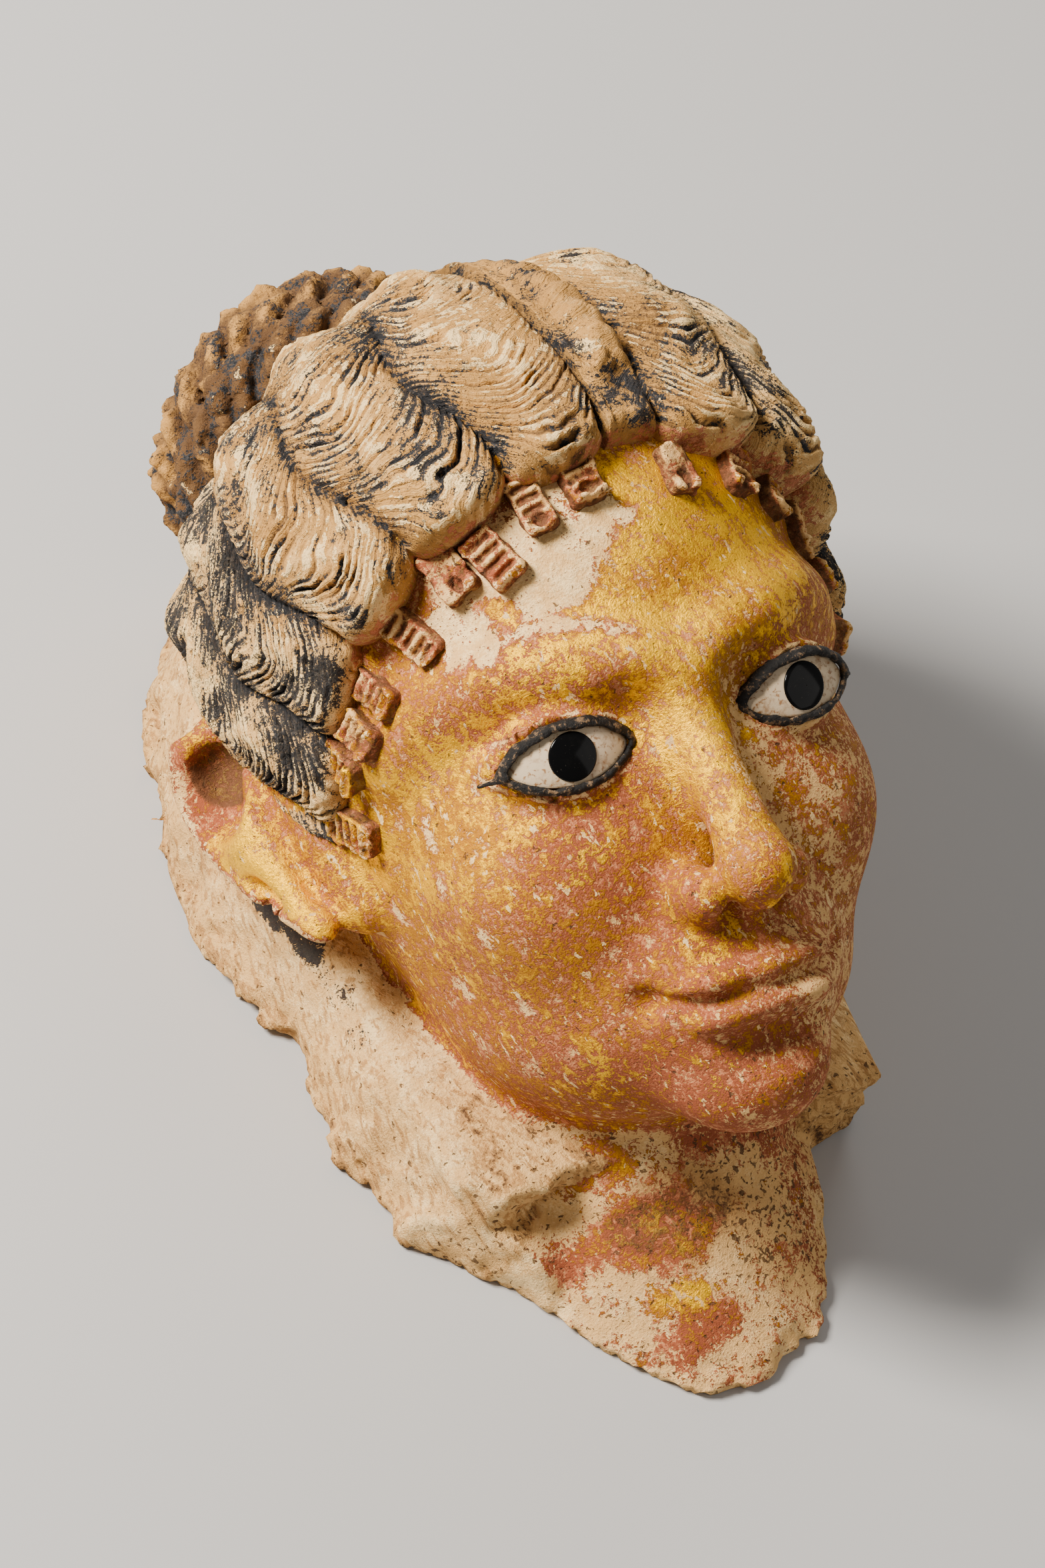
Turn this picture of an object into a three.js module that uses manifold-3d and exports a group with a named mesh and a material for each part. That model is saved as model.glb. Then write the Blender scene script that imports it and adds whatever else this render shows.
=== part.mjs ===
import * as THREE from 'three';
import { mergeVertices } from 'three/addons/utils/BufferGeometryUtils.js';
import Module from 'manifold-3d';

// A hollow plaster mask of a head: gilded face, painted hair in long waved rolls, a coiled plait
// at the back of the crown, small ribbed locks along the hairline, ears, a back wall that runs
// down behind them, and a neck that ends in a broken point. Each eye is inlaid: a dark metal
// rim, a white and a black iris. The mask lies on its flat broken edge.
//
// Millimetres, +Z up. The neck points to -Y, the crown to +Y, the mask's left side to +X.
// The carving is written in the head's own frame (x left, y back, z up along the face, zero
// between the eyes at the head's middle) and in parts of which the bare head is 210 high.

// Sizes
const HEAD_HEIGHT = 210; // chin to top of the bare head
const RECLINE = 53; // degrees from the floor's normal to the head's own upright
const EYE_LEVEL = 72; // floor to the head's middle between the eyes
const WALL = 12; // plaster between the outer form and the hollow
const FIT = 0.3; // clearance round each inlaid piece

const HAIR_THICKNESS = 12.5; // hair above the bare head
const HAIR_FULLER = 4.5; // more above the temples
const HAIR_THINNER = 4.2; // less over the ears
const HAIR_SINK = 7; // less towards the coiled plait
const COIL_RADIUS = 46.5; // coiled plait
const COIL_THICKNESS = 27;
const LOCK_LENGTH = 15; // ribbed locks on the forehead
const LOCK_WIDTH = 7.6;
const LOCK_RISE = 3.4; // above the forehead
const LOCK_ROOT = 5; // below it

const EYE_LENGTH = 30; // inside the rim, corner to corner
const EYE_DOME = 22; // radius of the inlay's front
const EYE_DEPTH = 5; // thickness of the inlay
const RIM_WIDTH = 1.9;
const RIM_RISE = 0.8; // rim above the white
const IRIS_RADIUS = 5.8;
const IRIS_UP = 0.6; // iris above the line of the corners
const WHITE_ABOVE = 1; // white between the iris and the rim
const WHITE_BELOW = 1;
const IRIS_DEPTH = 1.8;
const IRIS_RISE = 0.4; // iris above the white

// Fineness of the facets
const SHEET_COLUMNS = 52;
const SHEET_ROWS = 58;
const HOLLOW_STEPS = 16;
const OUTLINE_STEPS = 18;
const COIL_STEPS = 32;

const wasm = await Module();
wasm.setup();

const UNIT = HEAD_HEIGHT / 210;
const TILT = THREE.MathUtils.degToRad(RECLINE);
const COS = Math.cos(TILT);
const SIN = Math.sin(TILT);

const EYE_UPPER = IRIS_RADIUS + IRIS_UP + WHITE_ABOVE; // rim above and below the corners
const EYE_LOWER = IRIS_RADIUS - IRIS_UP + WHITE_BELOW;

// Frames

function toPart([x, y, z]) {
  return [x, y * COS + z * SIN, -y * SIN + z * COS + EYE_LEVEL];
}

function toHead([x, y, z]) {
  const h = z - EYE_LEVEL;
  return [x / UNIT, (y * COS - h * SIN) / UNIT, (y * SIN + h * COS) / UNIT];
}

const add = (a, b, k = 1) => [a[0] + b[0] * k, a[1] + b[1] * k, a[2] + b[2] * k];
const dot = (a, b) => a[0] * b[0] + a[1] * b[1] + a[2] * b[2];
const size = (a) => Math.hypot(...a);
const unit = (a) => a.map((v) => v / size(a));
const cross = (a, b) => [
  a[1] * b[2] - a[2] * b[1],
  a[2] * b[0] - a[0] * b[2],
  a[0] * b[1] - a[1] * b[0],
];

// Blended shapes: each gives the distance to its surface, below zero inside

function ease(low, high, x) {
  const t = THREE.MathUtils.clamp((x - low) / (high - low), 0, 1);
  return t * t * (3 - 2 * t);
}

function join(a, b, soft) {
  const h = Math.max(soft - Math.abs(a - b), 0) / soft;
  return Math.min(a, b) - h * h * soft * 0.25;
}

const keep = (a, b, soft) => -join(-a, -b, soft);
const carve = (a, b, soft) => keep(a, -b, soft);

function ball(p, c, r) {
  const x = p[0] - c[0];
  const y = p[1] - c[1];
  const z = p[2] - c[2];
  const near = Math.hypot(x / r[0], y / r[1], z / r[2]);
  const slope = Math.hypot(x / r[0] ** 2, y / r[1] ** 2, z / r[2] ** 2);
  return (near * (near - 1)) / Math.max(slope, 1e-9);
}

function rod(p, a, b, ra, rb = ra) {
  const along = add(b, a, -1);
  const from = add(p, a, -1);
  const t = THREE.MathUtils.clamp(dot(from, along) / dot(along, along), 0, 1);
  return size(add(from, along, -t)) - (ra + (rb - ra) * t);
}

function bead(p, points, r) {
  let d = Infinity;
  for (let i = 1; i < points.length; i += 1) {
    d = Math.min(d, rod(p, points[i - 1], points[i], r));
  }
  return d;
}

// Head

const SKULL = [0, 6, 22];
const SKULL_RADII = [72, 92, 83];
const SKULL_BACK = 74; // flat under the coiled plait, from the skull's middle
const BROW = [[0, -85, 11], [12, -84, 15], [26, -79, 19], [40, -69, 19], [51, -56, 14], [58, -43, 5]];
const MOUTH = [[0, -100.2, -66.2], [6, -99.2, -65.2], [13, -95.5, -65.4], [20, -90, -65], [25, -84.5, -63.8]];
const THROAT_FOLD = [[0, -45.5, -128], [30, -36, -124], [48, -8, -117]];

// Eye frame: middle of the inlay's front, outwards, towards the outer corner, up
const EYE = [32, -86.5, -2];
const GAZE = unit([0.16, -0.985, 0]);
const EYE_SIDE = unit([0.985, 0.16, 0]);
const EYE_UP = [0, 0, 1];

function eyelids(p) {
  const q = add(p, EYE, -1);
  const u = dot(q, EYE_SIDE) * UNIT;
  const v = dot(q, EYE_UP) * UNIT;
  const middle = add(EYE, GAZE, -EYE_DOME / UNIT);
  const dome = size(add(p, middle, -1)) - EYE_DOME / UNIT;
  const half = EYE_LENGTH / 2;
  const share = Math.min(Math.abs(u) / half, 1);
  const height = (v > 0 ? EYE_UPPER : EYE_LOWER) * (1 - share * share) ** 0.7;
  const outside = Math.hypot(Math.max(Math.abs(u) - half, 0), Math.max(Math.abs(v) - height, 0));
  return keep(dome - 0.3, (outside - RIM_WIDTH - 2.8) / UNIT, 4);
}

function nose(p) {
  let d = rod(p, [0, -83, 8], [0, -103.5, -35], 5.5, 8);
  d = join(d, ball(p, [0, -103, -37], [8.6, 9, 7.6]), 5);
  d = join(d, ball(p, [11.3, -93, -40.5], [6.3, 9, 6.8]), 4);
  return join(d, ball(p, [0, -97, -44], [4, 9, 4.4]), 3);
}

function mouth(p, face) {
  let d = join(face, ball(p, [0, -78, -62], [26, 17.5, 20]), 10);
  d = carve(d, rod(p, [0, -100.5, -49], [0, -100.5, -57], 2.6, 3), 4);
  const upper = join(ball(p, [8.5, -90, -61.2], [12.5, 8.2, 4.4]), ball(p, [0, -93.5, -61.5], [6, 6, 4.2]), 3);
  const lower = join(ball(p, [6.5, -89.5, -70.5], [13, 8.6, 5.2]), ball(p, [0, -92, -70], [7, 6.5, 4.8]), 3);
  d = join(d, upper, 3);
  d = join(d, lower, 3);
  d = carve(d, bead(p, MOUTH, 1.6), 3.5);
  d = carve(d, ball(p, [26.5, -83, -63.8], [3, 3, 3]), 5);
  return carve(d, ball(p, [0, -99.5, -80], [17, 8, 4.6]), 7);
}

const EAR_TOP = [82.5, 23, 8];
const EAR_LOBE = [73.5, -14.5, -37.5];
const EAR_FRONT = [[67.5, -7, 3], [67, -12, -14], [63.5, -17, -33]]; // where the ear meets the cheek

const lump = (q, c, r, scale) => (Math.hypot(...[0, 1, 2].map((k) => (q[k] - c[k]) / r[k])) - 1) * scale;

// Leaf, rolled rim, swelling, fold and lobe, with two hollows
function ear(p) {
  const along = add(EAR_TOP, EAR_LOBE, -1);
  const axis = unit(along);
  const lean = [0.95, -0.3, 0];
  const out = unit(add(lean, axis, -dot(lean, axis)));
  const from = add(p, add(EAR_LOBE, along, 0.5), -1);
  const reach = size(along) / 2;
  const l = dot(from, axis) / reach;
  const q = [l, dot(from, cross(out, axis)) - 2.5 * l * l, dot(from, out)];
  const half = 11 + 4 * THREE.MathUtils.clamp(l, -1, 1);
  const flat = Math.hypot(l, q[1] / half);
  const leaf = (Math.hypot(flat, q[2] / 6.5) - 1) * 6.5;
  const behind = 1 - THREE.MathUtils.smoothstep(q[1] / half, 0, 0.75);
  const rim = Math.hypot((flat - 0.86) * 11, q[2] - 3.6) - 0.6 - 2.2 * behind;
  let d = join(leaf, rim, 3);
  d = join(d, lump(q, [-0.06, 1.6, 1.2], [0.36, 7.2, 6], 5), 4);
  d = join(d, rod([l * reach, q[1], q[2]], [-7, 3.6, 4.6], [-23, 1.8, 3.4], 2.3, 2), 2.5);
  d = join(d, lump(q, [-0.93, 0.4, 2], [0.17, 4.2, 4.4], 4), 2);
  d = carve(d, lump(q, [0.46, 2.4, 8], [0.4, 8.5, 9.5], 6), 3);
  return carve(d, lump(q, [-0.45, -2.6, 6.5], [0.2, 3, 4.6], 3), 2);
}

// Skull, flattened at the back, with a low mound that carries the coiled plait
function skull(p) {
  const along = dot(add(p, SKULL, -1), COIL_AXIS);
  const flat = keep(ball(p, SKULL, SKULL_RADII), along - SKULL_BACK, 40);
  return join(flat, rod(p, add(SKULL, COIL_AXIS, 45), add(SKULL, COIL_AXIS, 62), 30), 12);
}

function bareHead(point) {
  const p = [Math.abs(point[0]), point[1], point[2]];
  let d = join(skull(p), ball(p, [0, -26, -28], [59, 62, 70]), 22);
  d = join(d, ball(p, [0, -38, -68], [47, 50, 33]), 14);
  d = join(d, ball(p, [31, -60, -32], [24, 22, 24]), 16);
  d = join(d, ball(p, [0, -78, -88], [19, 16, 15]), 14);
  d = join(d, bead(p, BROW, 7.5), 9);
  d = carve(d, ball(p, [33, -99, 1], [23, 15.5, 11.5]), 6);
  d = carve(d, ball(p, [17, -97, 2], [9, 11, 11]), 8);
  d = join(d, nose(p), 7);
  d = join(d, eyelids(p), 3);
  d = mouth(p, d);
  d = carve(d, ball(p, [6.4, -98.5, -47.8], [3.2, 5, 4]), 3);
  d = join(d, bead(p, EAR_FRONT, 6.6), 8);
  d = join(d, ear(p), 3);
  const neck = rod(p, [0, 14, -60], [0, 8, -185], 48, 52);
  return join(d, carve(neck, bead(p, THROAT_FOLD, 2), 6), 12);
}

// Hair: rolls run from the coiled plait at the back to the hairline, on both sides of a parting

const COIL_AXIS = unit([0, 0.839, 0.545]);
const FORWARD = [0, -COIL_AXIS[2], COIL_AXIS[1]];
const PARTING = 10; // degrees, a flat strip on the left of the parting
const ROLL = 20.3; // degrees across one roll
const HAIR_FRONT = 119; // degrees from the coil's axis to the hairline
const HAIR_LOW = 105; // degrees round from the parting to the lowest roll's edge
const ARC = 1.65; // millimetres to a degree on the head's surface

function hairAngles(p) {
  const q = add(p, SKULL, -1);
  const round = THREE.MathUtils.radToDeg(Math.atan2(q[0], dot(q, FORWARD)));
  const back = THREE.MathUtils.radToDeg(Math.acos(dot(q, COIL_AXIS) / Math.max(size(q), 1e-9)));
  return [round, back];
}

function hairBody(round, back) {
  const wide = Math.abs(round);
  const over = HAIR_THINNER * ease(45, 80, wide) * (1 - ease(100, 128, back));
  const sunk = HAIR_SINK * (1 - ease(50, 78, back));
  const more = HAIR_FULLER * ease(8, 30, wide) * (1 - ease(46, 72, wide)) * ease(60, 85, back);
  return (HAIR_THICKNESS + more - Math.max(over, sunk)) / UNIT - 5;
}

function hair(p) {
  const [round, back] = hairAngles(p);
  const side = Math.sign(round) || 1;
  const start = side > 0 ? PARTING : 0;
  const sway = 2.2 * Math.sin(THREE.MathUtils.degToRad((back - 20) * 9) + side * 0.6);
  const a = Math.abs(round) + sway * ease(start + 2, start + 14, Math.abs(round));
  const inStrip = a < start;
  const across = inStrip ? 0 : 2 * Math.abs((((a - start) / ROLL) % 1) - 0.5);
  const ridge = inStrip ? 0 : Math.sqrt(Math.max(1 - across ** 2.4, 0));
  const scallop = inStrip ? 0 : Math.sqrt(Math.max(1 - across ** 2, 0)) * 4 - 2;
  const front = (HAIR_FRONT + 4 * ease(60, 110, Math.abs(round)) + scallop - back) * ARC;
  const low = (HAIR_LOW - Math.abs(round)) * 1.45;
  const inside = Math.min(front, low);
  const body = hairBody(round, back) * ease(-2, 7, inside);
  const swell = 5 * ease(8, 35, back) * ridge * ease(0, 6, inside);
  return Math.max(skull(p) - body - swell, -inside * 0.7);
}

// Back wall: half widths of its broken foot against the way along the floor, from neck to crown
const WALL_FOOT = [
  [-156, 20], [-135, 50], [-104, 64], [-66, 74], [-43, 71], [-24, 76],
  [4, 80], [28, 79], [50, 72], [68, 63], [84, 50], [97, 33],
];
const WALL_SLOPE = 0.3; // inwards for each millimetre up
const WALL_TOP = 34;
const WALL_FRONT = -108;
const WALL_BACK = 98;

function footAt(y) {
  const last = WALL_FOOT.length - 1;
  if (y <= WALL_FOOT[0][0]) {
    return WALL_FOOT[0][1];
  }
  for (let i = 1; i <= last; i += 1) {
    const [y0, w0] = WALL_FOOT[i - 1];
    const [y1, w1] = WALL_FOOT[i];
    if (y < y1) {
      return w0 + ((w1 - w0) * (y - y0)) / (y1 - y0);
    }
  }
  return WALL_FOOT[last][1];
}

function backWall(p) {
  const [x, y, z] = toPart(p.map((v) => v * UNIT)).map((v) => v / UNIT);
  const side = (Math.abs(x) - (footAt(y) - WALL_SLOPE * z)) * 0.88;
  return keep(keep(keep(side, z - WALL_TOP, 10), WALL_FRONT - y, 3), y - WALL_BACK, 8);
}

function form(point) {
  const p = toHead(point);
  return join(join(bareHead(p), backWall(p), 6), hair(p), 2) * UNIT;
}

// Sheets: the form is met by rays from one point inside the head

const CORE = toPart([0, 5 * UNIT, 5 * UNIT]);
const REACH = 260 * UNIT;
const FACE_SHIFT = 0.4; // moves the sheet's middle from the zenith towards the face
const FACE_FOCUS = 1.3; // draws the facets towards the sheet's middle

function surfaceAlong(from, way) {
  const stride = 5 * UNIT;
  let t = REACH;
  while (t > 0 && form(add(from, way, t)) > 0) {
    t -= stride;
  }
  let inner = t;
  let outer = t + stride;
  for (let i = 0; i < 14; i += 1) {
    const middle = (inner + outer) / 2;
    if (form(add(from, way, middle)) < 0) {
      inner = middle;
    } else {
      outer = middle;
    }
  }
  return (inner + outer) / 2;
}

// How far the foot reaches from under the core, once for each degree round
const FOOT_REACH = Array.from({ length: 360 }, (_, degree) => {
  const a = THREE.MathUtils.degToRad(degree);
  return surfaceAlong([CORE[0], CORE[1], 0], [Math.cos(a), Math.sin(a), 0]);
});

function footReach(azimuth) {
  const turn = (THREE.MathUtils.radToDeg(azimuth) + 360) % 360;
  const low = Math.floor(turn) % 360;
  const share = turn - Math.floor(turn);
  return FOOT_REACH[low] * (1 - share) + FOOT_REACH[(low + 1) % 360] * share;
}

function sheetWay(u, v) {
  const x = u * Math.sqrt(1 - (v * v) / 2);
  const y = v * Math.sqrt(1 - (u * u) / 2);
  const radius = Math.min(Math.hypot(x, y), 1);
  const drawn = radius > 0 ? radius ** (FACE_FOCUS - 1) : 0;
  const a = [x * drawn, y * drawn];
  // turn of the disk that moves its middle and keeps its edge
  const s = -FACE_SHIFT;
  const top = [a[0], a[1] + s];
  const below = [1 + s * a[1], -s * a[0]];
  const norm = below[0] ** 2 + below[1] ** 2;
  const re = (top[0] * below[0] + top[1] * below[1]) / norm;
  const im = (top[1] * below[0] - top[0] * below[1]) / norm;
  const azimuth = Math.atan2(im, re);
  const r = Math.min(Math.hypot(re, im), 1);
  const flat = [Math.cos(azimuth), Math.sin(azimuth), 0];
  const polar = r * (Math.PI / 2 + Math.atan2(CORE[2], footReach(azimuth)));
  return [Math.sin(polar) * flat[0], Math.sin(polar) * flat[1], Math.cos(polar)];
}

// How far each ray of a sheet reaches, then blended with its neighbours, up to a border
function sheetReaches(columns, rows, reachOf, blend, passes, border) {
  const at = (i, j) => i * (rows + 1) + j;
  let reaches = [];
  for (let i = 0; i <= columns; i += 1) {
    for (let j = 0; j <= rows; j += 1) {
      reaches.push(reachOf((2 * i) / columns - 1, (2 * j) / rows - 1));
    }
  }
  for (let pass = 0; pass < passes; pass += 1) {
    const next = [...reaches];
    for (let i = border; i <= columns - border; i += 1) {
      for (let j = border; j <= rows - border; j += 1) {
        const left = at(Math.max(i - 1, 0), j);
        const right = at(Math.min(i + 1, columns), j);
        const round = [left, right, at(i, Math.max(j - 1, 0)), at(i, Math.min(j + 1, rows))];
        const mean = round.reduce((sum, k) => sum + reaches[k], 0) / 4;
        next[at(i, j)] = blend(reaches[at(i, j)], mean);
      }
    }
    reaches = next;
  }
  return reaches;
}

function sheetSolid(columns, rows, reaches, close) {
  const position = [];
  const index = [];
  const at = (i, j) => i * (rows + 1) + j;
  for (let i = 0; i <= columns; i += 1) {
    for (let j = 0; j <= rows; j += 1) {
      const way = sheetWay((2 * i) / columns - 1, (2 * j) / rows - 1);
      position.push(...add(CORE, way, reaches[at(i, j)]));
    }
  }
  for (let i = 0; i < columns; i += 1) {
    for (let j = 0; j < rows; j += 1) {
      const corners = [at(i, j), at(i + 1, j), at(i + 1, j + 1), at(i, j + 1)];
      const turn = i < columns / 2 === j < rows / 2 ? 1 : 0;
      const [a, b, c, d] = [...corners.slice(turn), ...corners.slice(0, turn)];
      index.push(a, b, c, a, c, d);
    }
  }
  const loop = [];
  for (let i = 0; i < columns; i += 1) {
    loop.push(at(i, 0));
  }
  for (let j = 0; j < rows; j += 1) {
    loop.push(at(columns, j));
  }
  for (let i = columns; i > 0; i -= 1) {
    loop.push(at(i, rows));
  }
  for (let j = rows; j > 0; j -= 1) {
    loop.push(at(0, j));
  }
  close(loop, position, index);
  return toSolid(position, index);
}

function toGeometry(position, index) {
  const geometry = new THREE.BufferGeometry();
  geometry.setAttribute('position', new THREE.Float32BufferAttribute(position, 3));
  geometry.setIndex(index);
  return geometry;
}

function solidOf(geometry) {
  const bare = geometry.clone();
  bare.deleteAttribute('normal');
  bare.deleteAttribute('uv');
  const merged = mergeVertices(bare, 1e-4);
  return new wasm.Manifold(new wasm.Mesh({
    numProp: 3,
    vertProperties: new Float32Array(merged.attributes.position.array),
    triVerts: new Uint32Array(merged.index.array),
  }));
}

const toSolid = (position, index) => solidOf(toGeometry(position, index));

function outerForm() {
  const reachOf = (u, v) => surfaceAlong(CORE, sheetWay(u, v));
  const soften = (reach, mean) => reach * 0.6 + mean * 0.4;
  const reaches = sheetReaches(SHEET_COLUMNS, SHEET_ROWS, reachOf, soften, 1, 1);
  const close = (loop, position, index) => {
    const middle = position.length / 3;
    position.push(CORE[0], CORE[1], 0);
    loop.forEach((a, i) => {
      position[a * 3 + 2] = 0;
      index.push(middle, loop[(i + 1) % loop.length], a);
    });
  };
  return sheetSolid(SHEET_COLUMNS, SHEET_ROWS, reaches, close);
}

// The hollow stays a wall's thickness inside the nearest of the outer form round each ray, and
// never bulges out past the mean of its neighbours
function hollow() {
  const near = 1 / HOLLOW_STEPS;
  const reachOf = (u, v) => {
    let reach = REACH;
    for (const [du, dv] of [[0, 0], [near, 0], [-near, 0], [0, near], [0, -near]]) {
      const a = THREE.MathUtils.clamp(u + du, -1, 1);
      const b = THREE.MathUtils.clamp(v + dv, -1, 1);
      reach = Math.min(reach, surfaceAlong(CORE, sheetWay(a, b)));
    }
    return reach - WALL;
  };
  const reaches = sheetReaches(HOLLOW_STEPS, HOLLOW_STEPS, reachOf, Math.min, 1, 0);
  const close = (loop, position, index) => {
    const first = position.length / 3;
    loop.forEach((a) => {
      position.push(position[a * 3], position[a * 3 + 1], -WALL);
    });
    const middle = position.length / 3;
    position.push(CORE[0], CORE[1], -WALL);
    loop.forEach((a, i) => {
      const j = (i + 1) % loop.length;
      index.push(loop[j], a, first + i, loop[j], first + i, first + j);
      index.push(middle, first + j, first + i);
    });
  };
  return sheetSolid(HOLLOW_STEPS, HOLLOW_STEPS, reaches, close);
}

// Coiled plait: one turn of a plait on another, wound flat against the back of the crown. Each
// strand of the plait swells and dips in turn, and the outer turn stands half a strand on.
function coil() {
  const middle = add(add(SKULL, COIL_AXIS, 90), FORWARD, -3).map((v) => v * UNIT);
  const half = COIL_THICKNESS / 2;
  const turn = half / 2;
  const profile = [new THREE.Vector2(0, -half)];
  for (const level of [-turn, turn]) {
    for (let k = 0; k <= 4; k += 1) {
      const angle = -Math.PI / 2 + (Math.PI * k) / 4;
      const radius = COIL_RADIUS - turn * (1.3 - Math.cos(angle)) - (level > 0 ? turn : 0);
      profile.push(new THREE.Vector2(radius, level + turn * Math.sin(angle) * 0.98));
    }
  }
  profile.push(new THREE.Vector2(COIL_RADIUS * 0.5, half - turn * 0.5));
  profile.push(new THREE.Vector2(COIL_RADIUS * 0.3, half + turn * 0.3));
  profile.push(new THREE.Vector2(0, half));
  const lathe = new THREE.LatheGeometry(profile, COIL_STEPS);
  const position = lathe.attributes.position;
  const strand = 1 + COIL_THICKNESS / 300;
  for (let i = 0; i < position.count; i += 1) {
    const step = Math.floor(i / profile.length);
    const level = position.getY(i) > 0 ? 1 : 0;
    const swell = (step + level) % 2 === 0 ? strand : 2 - strand;
    position.setX(i, position.getX(i) * swell);
    position.setZ(i, position.getZ(i) * swell);
  }
  const axis = toPart(COIL_AXIS);
  const across = toPart(FORWARD);
  const frame = new THREE.Matrix4().makeBasis(
    new THREE.Vector3(1, 0, 0),
    new THREE.Vector3(0, axis[1], axis[2] - EYE_LEVEL),
    new THREE.Vector3(0, across[1], across[2] - EYE_LEVEL),
  );
  frame.setPosition(...toPart(middle));
  return solidOf(lathe.applyMatrix4(frame));
}

// Ribbed locks along the hairline: degrees round from the parting and back from the coil's axis
const LOCKS = [
  [-7, 122.5], [-17, 122.5], [-28, 126], [-36, 123], [-50, 125], [-65, 125], [-74, 126],
  [-83, 124], [-99, 126], [12, 124.5], [28, 122], [41, 122], [55, 123], [68, 124], [84, 125], [99, 126],
];

function headPoint(round, back) {
  const a = THREE.MathUtils.degToRad(round);
  const b = THREE.MathUtils.degToRad(back);
  const side = [Math.sin(a), FORWARD[1] * Math.cos(a), FORWARD[2] * Math.cos(a)];
  const way = add(side.map((v) => v * Math.sin(b)), COIL_AXIS, Math.cos(b));
  let inner = 40;
  let outer = 140;
  for (let i = 0; i < 20; i += 1) {
    const t = (inner + outer) / 2;
    if (bareHead(add(SKULL, way, t)) < 0) {
      inner = t;
    } else {
      outer = t;
    }
  }
  return toPart(add(SKULL, way, inner).map((v) => v * UNIT));
}

function lock(round, back) {
  const here = headPoint(round, back);
  const down = unit(add(headPoint(round, back + 2), headPoint(round, back - 2), -1));
  const over = unit(add(headPoint(round + 2, back), headPoint(round - 2, back), -1));
  const out = unit(cross(over, down));
  const outward = dot(out, add(here, CORE, -1)) > 0 ? out : out.map((v) => -v);
  const shape = new THREE.Shape();
  const half = LOCK_LENGTH / 2;
  shape.moveTo(-half, -LOCK_ROOT);
  shape.lineTo(half, -LOCK_ROOT);
  const ribs = 3;
  for (let k = 0; k < ribs; k += 1) {
    const near = half - (LOCK_LENGTH * k) / ribs;
    const far = half - (LOCK_LENGTH * (k + 1)) / ribs;
    shape.lineTo(near, LOCK_RISE * 0.7);
    shape.lineTo((near + far) / 2, LOCK_RISE);
    if (k === ribs - 1) {
      shape.lineTo(far, LOCK_RISE * 0.7);
    }
  }
  const bar = new THREE.ExtrudeGeometry(shape, { depth: LOCK_WIDTH, bevelEnabled: false });
  bar.translate(0, 0, -LOCK_WIDTH / 2);
  const x = new THREE.Vector3(...down);
  const y = new THREE.Vector3(...outward);
  const z = new THREE.Vector3().crossVectors(x, y).normalize();
  x.crossVectors(y, z);
  bar.applyMatrix4(new THREE.Matrix4().makeBasis(x, y, z).setPosition(...here));
  return solidOf(bar);
}

// Inlaid eyes

function almond(offset) {
  const points = [];
  const half = EYE_LENGTH / 2 + offset * 1.7;
  for (let k = 0; k < OUTLINE_STEPS; k += 1) {
    const a = (2 * Math.PI * k) / OUTLINE_STEPS;
    const height = (Math.sin(a) > 0 ? EYE_UPPER : EYE_LOWER) + offset;
    points.push([half * Math.cos(a), height * Math.sign(Math.sin(a)) * Math.abs(Math.sin(a)) ** 1.4]);
  }
  return points;
}

function irisOutline(radius) {
  const points = [];
  for (let k = 0; k < 16; k += 1) {
    const a = (2 * Math.PI * k) / 16;
    points.push([radius * Math.cos(a), IRIS_UP + radius * Math.sin(a)]);
  }
  return points;
}

// A point of the right (-1) or left (1) eye: across, up and out from the inlay's domed front
function eyePoint(side, u, v, level) {
  const origin = EYE.map((value) => value * UNIT);
  const w = level - (u * u + v * v) / (2 * EYE_DOME);
  const p = add(add(add(origin, EYE_SIDE, u), EYE_UP, v), GAZE, w);
  return toPart([p[0] * side, p[1], p[2]]);
}

// A plate of the given outline between two domed faces
function plate(side, outline, top, bottom, rings = 2) {
  const position = [];
  const index = [];
  const count = outline.length;
  const put = (u, v, level) => position.push(...eyePoint(side, u, v, level));
  for (const level of [top, bottom]) {
    put(0, 0, level);
    for (let r = 1; r <= rings; r += 1) {
      outline.forEach(([u, v]) => put((u * r) / rings, (v * r) / rings, level));
    }
  }
  const lower = 1 + rings * count;
  const face = (a, b, c) => index.push(...(side > 0 ? [a, b, c] : [a, c, b]));
  for (let k = 0; k < count; k += 1) {
    const n = (k + 1) % count;
    face(0, 1 + k, 1 + n);
    face(lower, lower + 1 + n, lower + 1 + k);
    for (let r = 1; r < rings; r += 1) {
      const i = 1 + (r - 1) * count;
      const o = i + count;
      face(i + k, o + k, o + n);
      face(i + k, o + n, i + n);
      face(lower + i + k, lower + o + n, lower + o + k);
      face(lower + i + k, lower + i + n, lower + o + n);
    }
    const e = 1 + (rings - 1) * count;
    face(e + k, lower + e + k, lower + e + n);
    face(e + k, lower + e + n, e + n);
  }
  return toSolid(position, index);
}

// The rim is a band between two outlines, with the same number of points each
function band(side, outer, inner, top, bottom) {
  const position = [];
  const index = [];
  const count = outer.length;
  for (const [outline, level] of [[outer, top], [inner, top], [inner, bottom], [outer, bottom]]) {
    outline.forEach(([u, v]) => position.push(...eyePoint(side, u, v, level)));
  }
  for (let ring = 0; ring < 4; ring += 1) {
    const here = ring * count;
    const next = ((ring + 1) % 4) * count;
    for (let k = 0; k < count; k += 1) {
      const n = (k + 1) % count;
      const corners = [here + k, here + n, next + n, next + k];
      const [a, b, c, d] = side > 0 ? corners : corners.reverse();
      index.push(a, b, c, a, c, d);
    }
  }
  return toSolid(position, index);
}

const BEYOND = 12; // how far a cutter stands past the surface

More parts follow.
